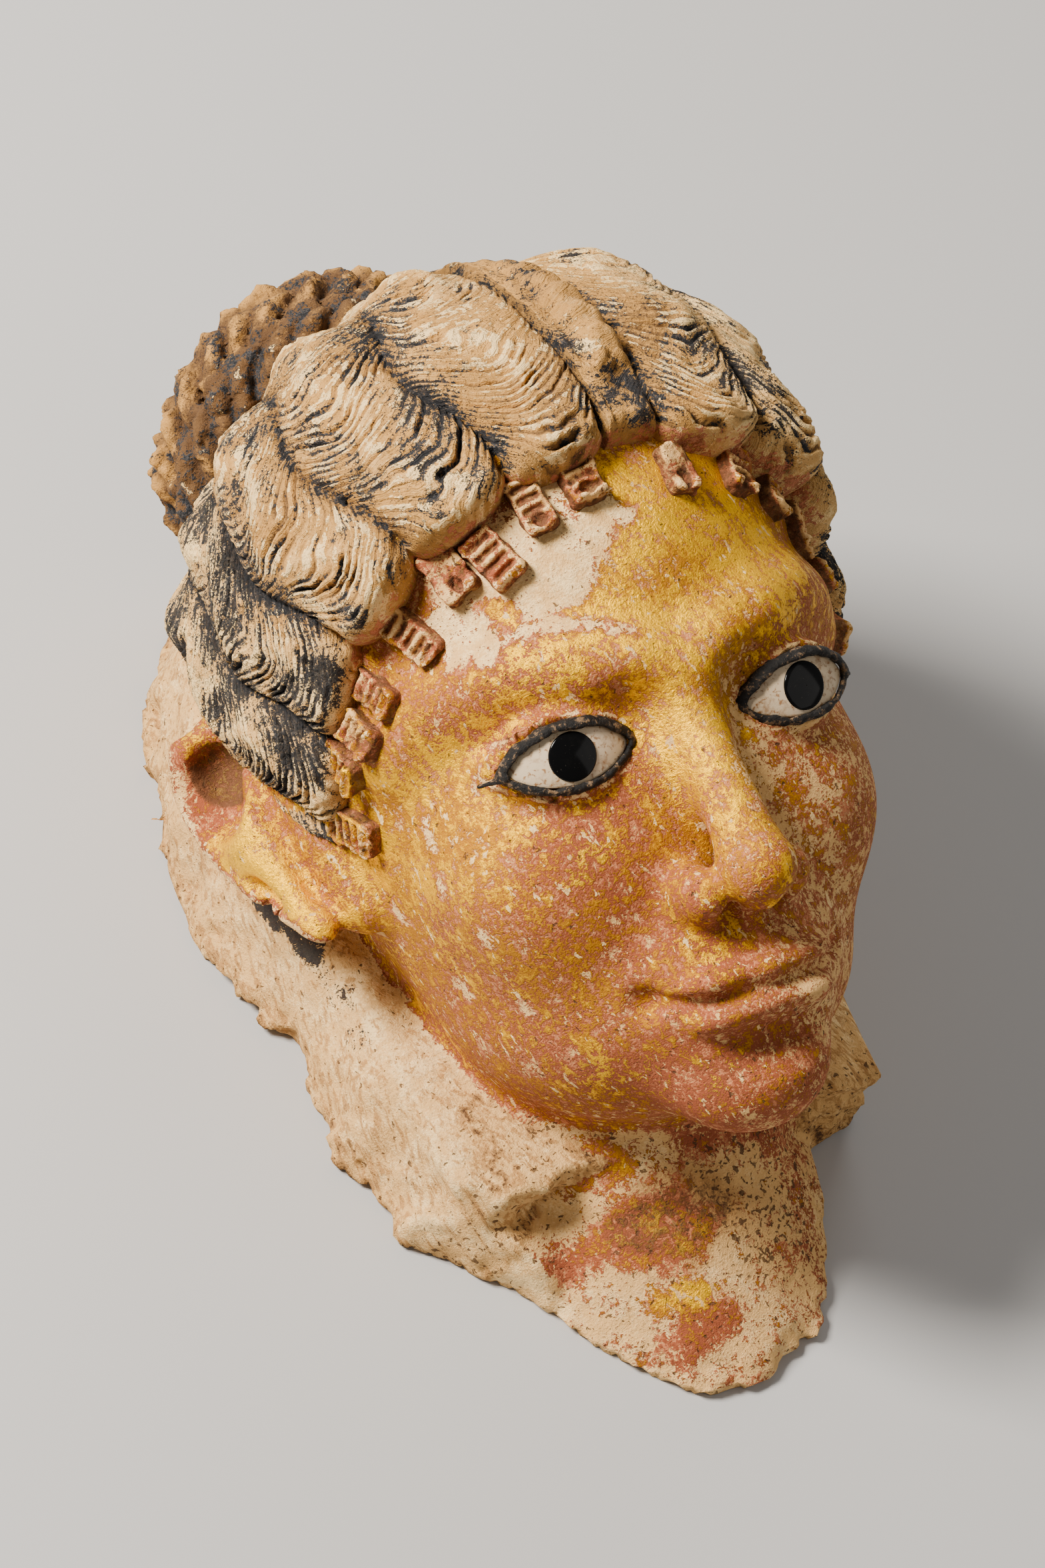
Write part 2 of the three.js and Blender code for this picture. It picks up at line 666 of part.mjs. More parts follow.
function eye(side) {
  const socket = plate(side, almond(RIM_WIDTH + FIT), BEYOND, -EYE_DEPTH, 1);
  const rim = band(side, almond(RIM_WIDTH), almond(0), RIM_RISE, FIT - EYE_DEPTH);
  const body = plate(side, almond(-FIT), 0, FIT - EYE_DEPTH);
  const white = body.subtract(plate(side, irisOutline(IRIS_RADIUS + FIT), BEYOND, -IRIS_DEPTH - FIT, 1));
  const iris = plate(side, irisOutline(IRIS_RADIUS), IRIS_RISE, -IRIS_DEPTH, 1);
  return { socket, rim, white, iris };
}

// Assembly

const PLASTER = { color: 0xc9a98a, roughness: 0.8, metalness: 0 };
const METAL = { color: 0x2b2c31, roughness: 0.5, metalness: 0.6 };
const STONE = { color: 0xe4dccb, roughness: 0.3, metalness: 0 };
const GLASS = { color: 0x0c0a0a, roughness: 0.15, metalness: 0 };

function meshOf(name, solid, look) {
  const { vertProperties, triVerts } = solid.getMesh();
  const geometry = toGeometry(Array.from(vertProperties), Array.from(triVerts));
  geometry.computeVertexNormals();
  const mesh = new THREE.Mesh(geometry, new THREE.MeshStandardMaterial(look));
  mesh.name = name;
  return mesh;
}

const eyes = { right: eye(-1), left: eye(1) };

let plaster = outerForm().add(coil());
for (const [round, back] of LOCKS) {
  plaster = plaster.add(lock(round, back));
}
plaster = plaster.subtract(hollow());
for (const { socket } of Object.values(eyes)) {
  plaster = plaster.subtract(socket);
}

const mask = new THREE.Group();
mask.add(meshOf('plaster_mask', plaster, PLASTER));
for (const [side, { rim, white, iris }] of Object.entries(eyes)) {
  mask.add(meshOf(`eye_rim_${side}`, rim, METAL));
  mask.add(meshOf(`eye_white_${side}`, white, STONE));
  mask.add(meshOf(`eye_iris_${side}`, iris, GLASS));
}

// The origin is the middle of the foot print
const box = new THREE.Box3().setFromObject(mask);
const centre = box.getCenter(new THREE.Vector3());
for (const piece of mask.children) {
  piece.position.set(-centre.x, -centre.y, -box.min.z);
}

export default mask;
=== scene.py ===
"""Hollow plaster head mask: gilded face, painted hair in waved rolls, coiled plait, inlaid eyes.

The carving is a soft-joined form in the head's own frame, in millimetres: x to the mask's left,
y back, z up along the face, zero between the eyes. Everything else is in the part's frame.
"""

import logging
import math
from dataclasses import dataclass, field
from enum import Enum
from typing import Callable, Optional, Union

import bpy
import numpy as np
from mathutils import Matrix, Vector


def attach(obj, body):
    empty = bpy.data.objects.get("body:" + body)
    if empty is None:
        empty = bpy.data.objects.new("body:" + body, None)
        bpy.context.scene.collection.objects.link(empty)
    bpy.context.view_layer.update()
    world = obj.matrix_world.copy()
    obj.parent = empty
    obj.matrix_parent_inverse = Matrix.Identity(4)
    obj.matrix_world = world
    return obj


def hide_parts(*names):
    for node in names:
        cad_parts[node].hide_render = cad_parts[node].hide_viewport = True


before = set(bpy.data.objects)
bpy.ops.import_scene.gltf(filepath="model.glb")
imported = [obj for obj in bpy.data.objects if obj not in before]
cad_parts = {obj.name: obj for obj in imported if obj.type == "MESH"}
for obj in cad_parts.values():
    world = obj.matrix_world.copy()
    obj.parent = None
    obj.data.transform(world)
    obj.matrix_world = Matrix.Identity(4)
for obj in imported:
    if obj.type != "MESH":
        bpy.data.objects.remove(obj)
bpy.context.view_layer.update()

LOG = logging.getLogger("mask")
MM = 0.001
CAD_BODY = "plaster_mask"

Array = np.ndarray
Field = Callable[[Array], Array]
Mesh, Object, Material = bpy.types.Mesh, bpy.types.Object, bpy.types.Material

CORNERS = [np.array([c & 1, c >> 1 & 1, c >> 2 & 1]) for c in range(8)]
LATTICE = 24  # points each way in a table of noise
BLOCK = 4  # lattice steps between the coarse samples


class Side(Enum):
    """The mask's own sides."""

    RIGHT = -1
    LEFT = 1


class Slot(Enum):
    """Material slots."""

    PLASTER = "plaster"
    RIM = "rim_metal"
    WHITE = "eye_white"
    IRIS = "iris_glass"


class Zone(Enum):
    """What the surface's attributes say: how much of each layer is left at a point, and where shade is
    painted.
    """

    GILT = "gilt"
    BOLE = "bole"
    BLACK = "black"
    # Dirt and stains, and painted shade in creases, hollows and grooves.
    SOIL = "soil"
    CREST = "crest"
    PITS = "pits"


# ---- soft-joined shapes


def ease(low: float, high: float, x: Array) -> Array:
    """Smooth ramp from 0 at low to 1 at high."""
    t = np.clip((x - low) / (high - low), 0.0, 1.0)
    return t * t * (3.0 - 2.0 * t)


def join(a: Array, b: Array, soft: float) -> Array:
    """Union of two distances, blended over soft."""
    h = np.maximum(soft - np.abs(a - b), 0.0) / soft
    return np.minimum(a, b) - h * h * soft * 0.25


def keep(a: Array, b: Array, soft: float) -> Array:
    """What two shapes share, blended over soft."""
    return -join(-a, -b, soft)


def carve(a: Array, b: Array, soft: float) -> Array:
    """The first shape less the second, blended over soft."""
    return keep(a, -b, soft)


def ball(p: Array, centre: tuple, radii: tuple) -> Array:
    """Distance to an ellipsoid, below zero inside.

    Args:
        p: points.
        centre: its middle.
        radii: its three radii.

    Returns:
        One distance for each point.
    """
    q = p - np.array(centre)
    r = np.array(radii, dtype=float)
    near = np.linalg.norm(q / r, axis=1)
    slope = np.linalg.norm(q / r**2, axis=1)
    return near * (near - 1.0) / np.maximum(slope, 1e-9)


def rod(p: Array, a: tuple, b: tuple, ra: float, rb: Optional[float] = None) -> Array:
    """Distance to a rod from a to b whose radius goes from ra to rb.

    Args:
        p: points.
        a: first end.
        b: last end.
        ra: radius at the first end.
        rb: radius at the last end, the same when there is none.

    Returns:
        One distance for each point.
    """
    start = np.array(a, dtype=float)
    along = np.array(b, dtype=float) - start
    t = np.clip((p - start) @ along / (along @ along), 0.0, 1.0)
    radius = ra + ((ra if rb is None else rb) - ra) * t
    return np.linalg.norm(p - start - t[:, None] * along, axis=1) - radius


def bead(p: Array, points: list, radius: float) -> Array:
    """Distance to a rod that follows the points.

    Args:
        p: points.
        points: the line's corners.
        radius: its radius.

    Returns:
        One distance for each point.
    """
    d = rod(p, points[0], points[1], radius)
    for a, b in zip(points[1:], points[2:]):
        d = np.minimum(d, rod(p, a, b, radius))
    return d


def mirrored(p: Array) -> Array:
    """The points with those of the mask's right moved to its left."""
    return np.column_stack([np.abs(p[:, 0]), p[:, 1:]])


def unit(v: tuple) -> Array:
    """The vector at length one."""
    a = np.array(v, dtype=float)
    return a / np.linalg.norm(a)


@dataclass(frozen=True)
class Grain:
    """Smooth noise on a lattice, the same each run.

    Attributes:
        seed: which lattice.
    """

    seed: int

    def at(self, p: Array, scale: float) -> Array:
        """Noise from 0 to 1 with lumps of about scale millimetres.

        Args:
            p: points.
            scale: lattice spacing.

        Returns:
            One value for each point.
        """
        table = np.random.default_rng(self.seed).random((LATTICE, LATTICE, LATTICE))
        q = p / scale + 1000.0
        low = np.floor(q).astype(int)
        f = q - low
        f = f * f * (3.0 - 2.0 * f)
        total = np.zeros(len(p))
        for step in CORNERS:
            i = (low + step) % LATTICE
            weight = np.prod(np.where(step == 1, f, 1.0 - f), axis=1)
            total += weight * table[i[:, 0], i[:, 1], i[:, 2]]
        return total

    def layered(self, p: Array, scale: float, layers: int = 3) -> Array:
        """Noise from 0 to 1 in layers, each half the size of the last.

        Args:
            p: points.
            scale: lattice spacing of the first layer.
            layers: how many layers.

        Returns:
            One value for each point.
        """
        total, weight, norm = np.zeros(len(p)), 1.0, 0.0
        for k in range(layers):
            total += weight * Grain(self.seed + 31 * k).at(p, scale / 2**k)
            norm += weight
            weight *= 0.55
        return total / norm


# ---- the head's frame and form


@dataclass(frozen=True)
class HeadFrame:
    """How the head lies in the part's frame.

    Attributes:
        recline: degrees from the floor's normal to the head's own upright.
        eye_level: floor to the head's middle between the eyes.
        centring: how far the part's origin stands from the head's middle, along Y.
    """

    recline: float = 53.0
    eye_level: float = 72.0
    centring: float = 19.634

    @property
    def turn(self) -> Array:
        """Rotation from the head's frame to the part's."""
        c, s = math.cos(math.radians(self.recline)), math.sin(math.radians(self.recline))
        return np.array([[1.0, 0.0, 0.0], [0.0, c, s], [0.0, -s, c]])

    @property
    def origin(self) -> Array:
        """The head's middle in the part's frame."""
        return np.array([0.0, self.centring, self.eye_level])

    def to_part(self, p: Array) -> Array:
        """Points of the head's frame in the part's."""
        return p @ self.turn.T + self.origin

    def to_head(self, p: Array) -> Array:
        """Points of the part's frame in the head's."""
        return (p - self.origin) @ self.turn


@dataclass(frozen=True)
class HairPlan:
    """Where the rolls of hair run: degrees round from the parting and back from the coil's axis."""

    skull: tuple = (0.0, 6.0, 22.0)
    radii: tuple = (72.0, 92.0, 83.0)
    parting: float = 10.0
    roll: float = 20.3
    front: float = 119.0
    low: float = 105.0
    arc: float = 1.65
    body: float = 7.5
    full: float = 4.5
    thin_side: float = 4.2
    thin_back: float = 7.0
    swell: float = 3.9
    skull_back: float = 74.0

    @property
    def axis(self) -> Array:
        """From the skull's middle to the coil's."""
        return unit((0.0, 0.839, 0.545))

    @property
    def forward(self) -> Array:
        """Across the axis, towards the forehead."""
        a = self.axis
        return np.array([0.0, -a[2], a[1]])

    def bare(self, p: Array) -> Array:
        """Distance to the skull, flattened where the coil lies against it.

        Args:
            p: points of the head's frame.

        Returns:
            One distance for each point.
        """
        q = p - np.array(self.skull)
        flat = keep(ball(p, self.skull, self.radii), q @ self.axis - self.skull_back, 40.0)
        low, high = np.array(self.skull) + self.axis * 45.0, np.array(self.skull) + self.axis * 62.0
        return join(flat, rod(p, low, high, 30.0), 12.0)

    def reach(self, ways: Array) -> Array:
        """How far the bare skull reaches from its middle along each direction.

        Args:
            ways: unit directions from the skull's middle.

        Returns:
            One length each.
        """
        inner, outer = np.full(len(ways), 50.0), np.full(len(ways), 110.0)
        for _ in range(16):
            t = (inner + outer) / 2
            hit = self.bare(np.array(self.skull) + ways * t[:, None]) < 0
            inner, outer = np.where(hit, t, inner), np.where(hit, outer, t)
        return (inner + outer) / 2

    def thick(self, around: Array, back: Array) -> Array:
        """Thickness of the hair between its rolls.

        Args:
            around: degrees round.
            back: degrees back.

        Returns:
            Millimetres over the bare skull.
        """
        wide = np.abs(around)
        side = self.thin_side * ease(45, 80, wide) * ease(128, 100, back)
        full = self.full * ease(8, 30, wide) * ease(72, 46, wide) * ease(60, 85, back)
        return self.body + full - np.maximum(side, self.thin_back * ease(78, 50, back))

    def angles(self, p: Array) -> tuple[Array, Array]:
        """Degrees round and back of points in the head's frame.

        Args:
            p: points of the head's frame.

        Returns:
            Degrees round from the parting and degrees back from the coil's axis.
        """
        q = p - np.array(self.skull)
        around = np.degrees(np.arctan2(q[:, 0], q @ self.forward))
        back = np.degrees(np.arccos(np.clip(q @ self.axis / np.linalg.norm(q, axis=1), -1, 1)))
        return around, back

    def ways(self, around: Array, back: Array) -> Array:
        """Directions from the skull's middle at the given degrees.

        Args:
            around: degrees round.
            back: degrees back.

        Returns:
            Unit vectors.
        """
        a, b = np.radians(around), np.radians(back)
        side = np.sin(a)[:, None] * np.array([1.0, 0.0, 0.0]) + np.cos(a)[:, None] * self.forward
        return np.sin(b)[:, None] * side + np.cos(b)[:, None] * self.axis

    def across(self, around: Array, back: Array) -> tuple[Array, Array, Array]:
        """Where a point lies on its roll.

        Args:
            around: degrees round.
            back: degrees back.

        Returns:
            The roll's number, the way across it from -1 to 1, and whether it lies on the strip.
        """
        side = np.where(around < 0, -1.0, 1.0)
        start = np.where(side > 0, self.parting, 0.0)
        sway = 2.2 * np.sin(np.radians((back - 20.0) * 9.0) + side * 0.6)
        share = np.clip((np.abs(around) - start - 2.0) / 12.0, 0, 1)
        a = np.abs(around) + sway * share * share * (3 - 2 * share)
        strip = a < start
        place = (a - start) / self.roll
        number = np.floor(place)
        return number * 2 + (side > 0), 2.0 * (place - number) - 1.0, strip

    def hairline(self, around: Array, back: Array) -> Array:
        """Degrees from the coil's axis to the front of the hair.

        Args:
            around: degrees round.
            back: degrees back.

        Returns:
            Degrees.
        """
        _, w, strip = self.across(around, back)
        scallop = np.where(strip, 0.0, np.sqrt(np.maximum(1 - w * w, 0)) * 4.0 - 2.0)
        return self.front + 4.0 * ease(60, 110, np.abs(around)) + scallop

    def inside(self, around: Array, back: Array) -> Array:
        """Millimetres from the hair's nearest edge."""
        front = (self.hairline(around, back) - back) * self.arc
        return np.minimum(front, (self.low - np.abs(around)) * 1.45)


FACE = (
    ((0, -26, -28), (59, 62, 70), 22), ((0, -38, -68), (47, 50, 33), 14),
    ((31, -60, -32), (24, 22, 24), 16), ((0, -78, -88), (19, 16, 15), 14),
)
BROW = [(0, -85, 11), (12, -84, 15), (26, -79, 19), (40, -69, 19), (51, -56, 14), (58, -43, 5)]
LIPS = [(0, -100.2, -66.2), (6, -99.2, -65.2), (13, -95.5, -65.4), (20, -90, -65), (25, -84.5, -63.8)]
TRAGUS = [(67.5, -7, 3), (67, -12, -14), (63.5, -17, -33)]
EAR_ROOT = [(70.5, 22, 12), (71, 12, 3), (69.5, 2, -10), (66, -4, -26)]
THROAT_FOLD = [(0, -45.5, -128), (30, -36, -124), (48, -8, -117)]
BREAK_AT = (-67.0, -78.4, 0.0)
BREAK_WAY = (-0.738, -0.655, 0.164)
BREAK_FILL = ((-46.0, -84.0, 2.0), (24.0, 24.0, 17.0))
BREAK_CUT = ((-62.0, -92.0, 8.0), (26.0, 26.0, 27.0))
WALL_FOOT = [
    (-156, 20), (-135, 50), (-104, 64), (-66, 74), (-43, 71), (-24, 76),
    (4, 80), (28, 79), (50, 72), (68, 63), (84, 50), (97, 33),
]


@dataclass(frozen=True)
class EyePlan:
    """One inlaid eye: its place in the head's frame and its almond."""

    place: tuple = (32.0, -86.5, -2.0)
    length: float = 30.0
    dome: float = 22.0
    rim: float = 1.9
    iris: float = 5.8
    iris_up: float = 0.6
    above: float = 1.0
    below: float = 1.0

    @property
    def gaze(self) -> Array:
        """Outwards from the eye."""
        return unit((0.16, -0.985, 0.0))

    @property
    def outer(self) -> Array:
        """Towards the eye's outer corner."""
        return unit((0.985, 0.16, 0.0))

    @property
    def upper(self) -> float:
        """Height of the white above the corners."""
        return self.iris + self.iris_up + self.above

    @property
    def lower(self) -> float:
        """Depth of the white below the corners."""
        return self.iris - self.iris_up + self.below

    def local(self, p: Array) -> Array:
        """Points of the head's frame, mirrored to the left, as across, up and out from the dome.

        Args:
            p: points.

        Returns:
            Three columns, in millimetres.
        """
        q = p - np.array(self.place)
        u, v, w = q @ self.outer, q[:, 2], q @ self.gaze
        return np.stack([u, v, w + (u * u + v * v) / (2 * self.dome)], axis=1)

    def world(self, q: Array, side: Side) -> Array:
        """Across, up and out of one eye as points of the head's frame.

        Args:
            q: points in the eye's own frame.
            side: which eye.

        Returns:
            Points of the head's frame.
        """
        w = q[:, 2] - (q[:, 0] ** 2 + q[:, 1] ** 2) / (2 * self.dome)
        p = np.array(self.place) + q[:, :1] * self.outer + w[:, None] * self.gaze
        p[:, 2] += q[:, 1]
        return p * np.array([side.value, 1.0, 1.0])

    def almond(self, angle: Array, offset: float = 0.0) -> Array:
        """Points of the almond's outline.

        Args:
            angle: angles round the almond.
            offset: millimetres outside the white's edge.

        Returns:
            Across and up, for each angle.
        """
        s = np.sin(angle)
        high = np.where(s > 0, self.upper, self.lower) + offset
        half = self.length / 2 + 1.7 * offset
        return np.stack([half * np.cos(angle), high * np.sign(s) * np.abs(s) ** 1.4], axis=1)

    def outside(self, q: Array, offset: float = 0.0) -> Array:
        """Rough distance from the almond's outline, below zero inside.

        Args:
            q: points in the eye's own frame.
            offset: millimetres outside the white's edge.

        Returns:
            One distance for each point.
        """
        half = self.length / 2 + 1.7 * offset
        share = np.minimum(np.abs(q[:, 0]) / half, 0.9999)
        high = np.where(q[:, 1] > 0, self.upper, self.lower) + offset
        edge = high * (1 - share * share) ** 0.7
        slope = high * 0.7 * (1 - share * share) ** -0.3 * 2 * share / half
        inner = (np.abs(q[:, 1]) - edge) / np.sqrt(1 + slope * slope)
        return np.maximum(inner, np.abs(q[:, 0]) - half)


@dataclass(frozen=True)
class EarPlan:
    """One ear, mirrored to the left: a leaf that leans off the head behind the temple."""

    top: tuple = (82.5, 23.0, 8.0)
    lobe: tuple = (73.5, -14.5, -37.5)
    lean: tuple = (0.95, -0.3, 0.0)
    half: float = 9.4
    flare: float = 4.8
    cup: tuple = (79.6, 13.6, 3.4)
    cup_size: tuple = (6.8, 6.4, 8.0)
    backing: tuple = (75.0, 19.5, 3.0)
    backing_size: tuple = (9.5, 8.0, 14.0)

    @property
    def axis(self) -> Array:
        """From the lobe to the top."""
        return unit(np.array(self.top) - np.array(self.lobe))

    @property
    def out(self) -> Array:
        """Away from the head, square to the axis."""
        lean = np.array(self.lean)
        return unit(lean - self.axis * (lean @ self.axis))

    @property
    def reach(self) -> float:
        """Half the ear's length."""
        return float(np.linalg.norm(np.array(self.top) - np.array(self.lobe))) / 2

    def local(self, p: Array) -> Array:
        """Points as share along from the lobe (-1) to the top (1), and millimetres forward and out.

        Args:
            p: points of the head's frame, mirrored to the left.

        Returns:
            Three columns: the share, forward and out.
        """
        q = p - (np.array(self.top) + np.array(self.lobe)) / 2
        along = q @ self.axis / self.reach
        ahead = q @ np.cross(self.out, self.axis) - 2.5 * along**2
        return np.stack([along, ahead, q @ self.out], axis=1)

    def width(self, along: Array) -> Array:
        """Half width at a share of the length."""
        return self.half + self.flare * np.clip(along, -1, 1)

    def lump(self, q: Array, centre: tuple, radii: tuple, scale: float) -> Array:
        """Distance to a rounded lump in the ear's own frame."""
        return (np.linalg.norm((q - np.array(centre)) / np.array(radii), axis=1) - 1) * scale

    def value(self, p: Array) -> Array:
        """Distance to the ear: leaf, rolled rim, swelling, fold and lobe, with two hollows.

        Args:
            p: points of the head's frame, mirrored to the left.

        Returns:
            One distance for each point.
        """
        q = self.local(p)
        along, ahead, out = q.T
        half = self.width(along)
        flat = np.hypot(along, ahead / half)
        leaf = (np.hypot(flat, out / 6.5) - 1) * 6.5
        behind = ease(0.75, 0.0, ahead / half)
        rim = np.hypot((flat - 0.86) * 11, out - 3.6) - 0.6 - 2.2 * behind
        d = join(leaf, rim, 3)
        d = join(d, self.lump(q, (-0.06, 1.6, 1.2), (0.36, 7.2, 6.0), 5), 4)
        ridge = rod(q * np.array([self.reach, 1, 1]), (-7.0, 3.6, 4.6), (-23.0, 1.8, 3.4), 2.3, 2.0)
        d = join(d, ridge, 2.5)
        d = join(d, self.lump(q, (-0.93, 0.4, 2.0), (0.17, 4.2, 4.4), 4), 2)
        d = carve(d, self.lump(q, (0.50, 2.2, 8.0), (0.38, 9.0, 12.0), 6), 3)
        d = carve(d, ball(p, self.cup, self.cup_size), 3)
        return carve(d, self.lump(q, (-0.45, -2.6, 6.5), (0.20, 3.0, 4.6), 3), 2)


@dataclass
class HeadForm:
    """The whole plaster form, with its least wall and the depth of the eyes' sockets."""

    lay: HeadFrame = field(default_factory=HeadFrame)
    hair: HairPlan = field(default_factory=HairPlan)
    eye: EyePlan = field(default_factory=EyePlan)
    ear: EarPlan = field(default_factory=EarPlan)
    wall: float = 10.0
    seat: float = 5.0

    def eyelids(self, p: Array) -> Array:
        """The lids' dome round the inlay.

        Args:
            p: points of the head's frame, mirrored to the left.

        Returns:
            One distance for each point.
        """
        q = self.eye.local(p)
        middle = np.array(self.eye.place) - self.eye.gaze * self.eye.dome
        dome = np.linalg.norm(p - middle, axis=1) - self.eye.dome
        half = self.eye.length / 2
        share = np.minimum(np.abs(q[:, 0]) / half, 1.0)
        high = np.where(q[:, 1] > 0, self.eye.upper, self.eye.lower) * (1 - share * share) ** 0.7
        beyond = np.hypot(
            np.maximum(np.abs(q[:, 0]) - half, 0), np.maximum(np.abs(q[:, 1]) - high, 0)
        )
        return keep(dome - 0.3, beyond - self.eye.rim - 2.8, 4.0)

    def nose(self, p: Array) -> Array:
        """Bridge, tip and wings of the nose.

        Args:
            p: points of the head's frame, mirrored to the left.

        Returns:
            One distance for each point.
        """
        d = rod(p, (0, -83, 8), (0, -103.5, -35), 5.5, 8)
        d = join(d, ball(p, (0, -103, -37), (8.6, 9, 7.6)), 5)
        d = join(d, ball(p, (11.3, -93, -40.5), (6.3, 9, 6.8)), 3.2)
        return join(d, ball(p, (0, -97, -44), (4, 9, 4.4)), 3)

    def mouth(self, p: Array, face: Array) -> Array:
        """The face with its lips.

        Args:
            p: points of the head's frame, mirrored to the left.
            face: distance to the face without lips.

        Returns:
            One distance for each point.
        """
        d = join(face, ball(p, (0, -78, -62), (26, 17.5, 20)), 10)
        d = carve(d, rod(p, (0, -100.5, -49), (0, -100.5, -57), 2.6, 3), 4)
        upper = join(
            ball(p, (8.5, -90, -61.2), (12.5, 8.2, 4.4)), ball(p, (0, -93.5, -61.5), (6, 6, 4.2)), 3
        )
        lower = join(
            ball(p, (6.5, -89.5, -70.5), (13, 8.6, 5.2)), ball(p, (0, -92, -70), (7, 6.5, 4.8)), 3
        )
        d = join(join(d, upper, 2.4), lower, 2.6)
        d = carve(d, bead(p, LIPS, 1.3), 2.4)
        d = carve(d, ball(p, (26.5, -83, -63.8), (3, 3, 3)), 5)
        return carve(d, ball(p, (0, -99.5, -80), (17, 8, 4.6)), 7)

    def shell(self, point: Array) -> Array:
        """Head and ears without hair or neck, in the head's frame.

        Args:
            point: points of the head's frame.

        Returns:
            One distance for each point.
        """
        p = mirrored(point)
        d = self.hair.bare(p)
        for centre, radii, soft in FACE:
            d = join(d, ball(p, centre, radii), soft)
        d = join(d, bead(p, BROW, 7.5), 9)
        d = carve(d, ball(p, (33, -99, 1), (23, 15.5, 11.5)), 6)
        d = carve(d, ball(p, (17, -97, 2), (9, 11, 11)), 8)
        d = join(d, self.nose(p), 7)
        d = join(d, self.eyelids(p), 3)
        d = self.mouth(p, d)
        d = carve(d, ball(p, (6.4, -98.5, -47.8), (3.2, 5, 4)), 2)
        d = join(d, bead(p, TRAGUS, 6.6), 8)
        d = join(d, bead(p, EAR_ROOT, 5.5), 8)
        d = join(d, self.ear.value(p), 3)
        d = join(d, ball(p, self.ear.backing, self.ear.backing_size), 3)
        return carve(d, ball(p, self.ear.cup, self.ear.cup_size), 2)

    def neck(self, point: Array) -> Array:
        """The neck with the fold across its throat."""
        p = mirrored(point)
        return carve(rod(p, (0, 14, -60), (0, 8, -185), 48, 52), bead(p, THROAT_FOLD, 2), 6)

    def bare_head(self, point: Array) -> Array:
        """Head, ears and neck without hair, in the head's frame."""
        return join(self.shell(point), self.neck(point), 12)

    def hair_bed(self, p: Array) -> Array:
        """Plaster under the rolls, a little below their surface.

        Args:
            p: points of the head's frame.

        Returns:
            One distance for each point.
        """
        around, back = self.hair.angles(p)
        inside = self.hair.inside(around, back) - 3.0
        body = (self.hair.thick(around, back) - 3.0) * ease(-2, 5, inside)
        return np.maximum(self.hair.bare(p) - body, -inside * 0.7)

    def foot_half(self, y: Array) -> Array:
        """Half width of the back wall's foot."""
        table = np.array(WALL_FOOT, dtype=float)
        return np.interp(y, table[:, 0], table[:, 1])

    def back_wall(self, part: Array) -> Array:
        """The wall behind the ears, from the part's frame, with its broken and bitten foot.

        Args:
            part: points of the part's frame.

        Returns:
            One distance for each point.
        """
        y = part[:, 1] - self.lay.centring
        ragged = (Grain(5).layered(part, 15.0, 4) - 0.5) * 8.0 * ease(42, 4, part[:, 2])
        bites = np.maximum(Grain(6).layered(part, 8.0, 3) - 0.54, 0.0) * 30.0
        bites *= ease(16, 2, part[:, 2])
        side = (np.abs(part[:, 0]) - (self.foot_half(y) - 0.3 * part[:, 2])) * 0.88 + ragged + bites
        front = -108.0 - y + (Grain(9).layered(part, 8.0, 4) - 0.5) * 6.5
        lip = rod(mirrored(part), (58.0, -26.0, 31.0), (56.5, -92.0, 26.0), 3.4) + ragged * 0.15
        slab = join(keep(side, part[:, 2] - 34.0, 10), lip, 3.0)
        return keep(keep(slab, front, 1.0), y - 98.0, 8)

    def fracture(self, part: Array) -> Array:
        """Distance to the flat break at the wall's front corner on the mask's right."""
        rough = (Grain(8).layered(part, 7.0, 3) - 0.5) * 2.0
        return (part - np.array(BREAK_AT)) @ np.array(BREAK_WAY) + rough

    def hollow(self, part: Array, p: Array) -> Array:
        """The inside, open at the foot.

        Args:
            part: points of the part's frame.
            p: the same points in the head's.

        Returns:
            One distance for each point.
        """
        d = join(ball(p, (0, 8, 22), (50, 68, 60)), ball(p, (0, -24, -26), (38, 38, 46)), 24)
        y = part[:, 1] - self.lay.centring
        room = np.abs(part[:, 0]) - (self.foot_half(y) - 24.0)
        room = keep(keep(room, part[:, 2] - 40.0, 14), np.abs(y + 4.0) - 84.0, 16)
        return join(d, room, 14)

    def value(self, part: Array) -> Array:
        """Distance to the plaster, below zero inside.

        Args:
            part: points of the part's frame, in millimetres.

        Returns:
            One distance for each point.
        """
        p = self.lay.to_head(part)
        d = join(self.bare_head(p), self.back_wall(part), 4.0)
        broken = self.fracture(part)
        d = join(d, keep(ball(part, *BREAK_FILL), broken, 0.8), 3.0)
        d = carve(d, np.maximum(-broken, ball(part, *BREAK_CUT)), 0.6)
        chipped = (Grain(3).layered(part, 11.0, 4) - 0.5) * 7.0 * ease(15, 0, part[:, 2])
        d = join(d, self.hair_bed(p), 2.0) + chipped * ease(-60, -80, part[:, 1])
        q = self.eye.local(mirrored(p))
        socket = np.maximum(self.eye.outside(q, self.eye.rim - 0.7), -self.seat - q[:, 2])
        d = np.maximum(d, -socket)
        d = np.maximum(d, -np.maximum(self.hollow(part, p), d + self.wall))
        return np.maximum(d, -part[:, 2])


# ---- meshes


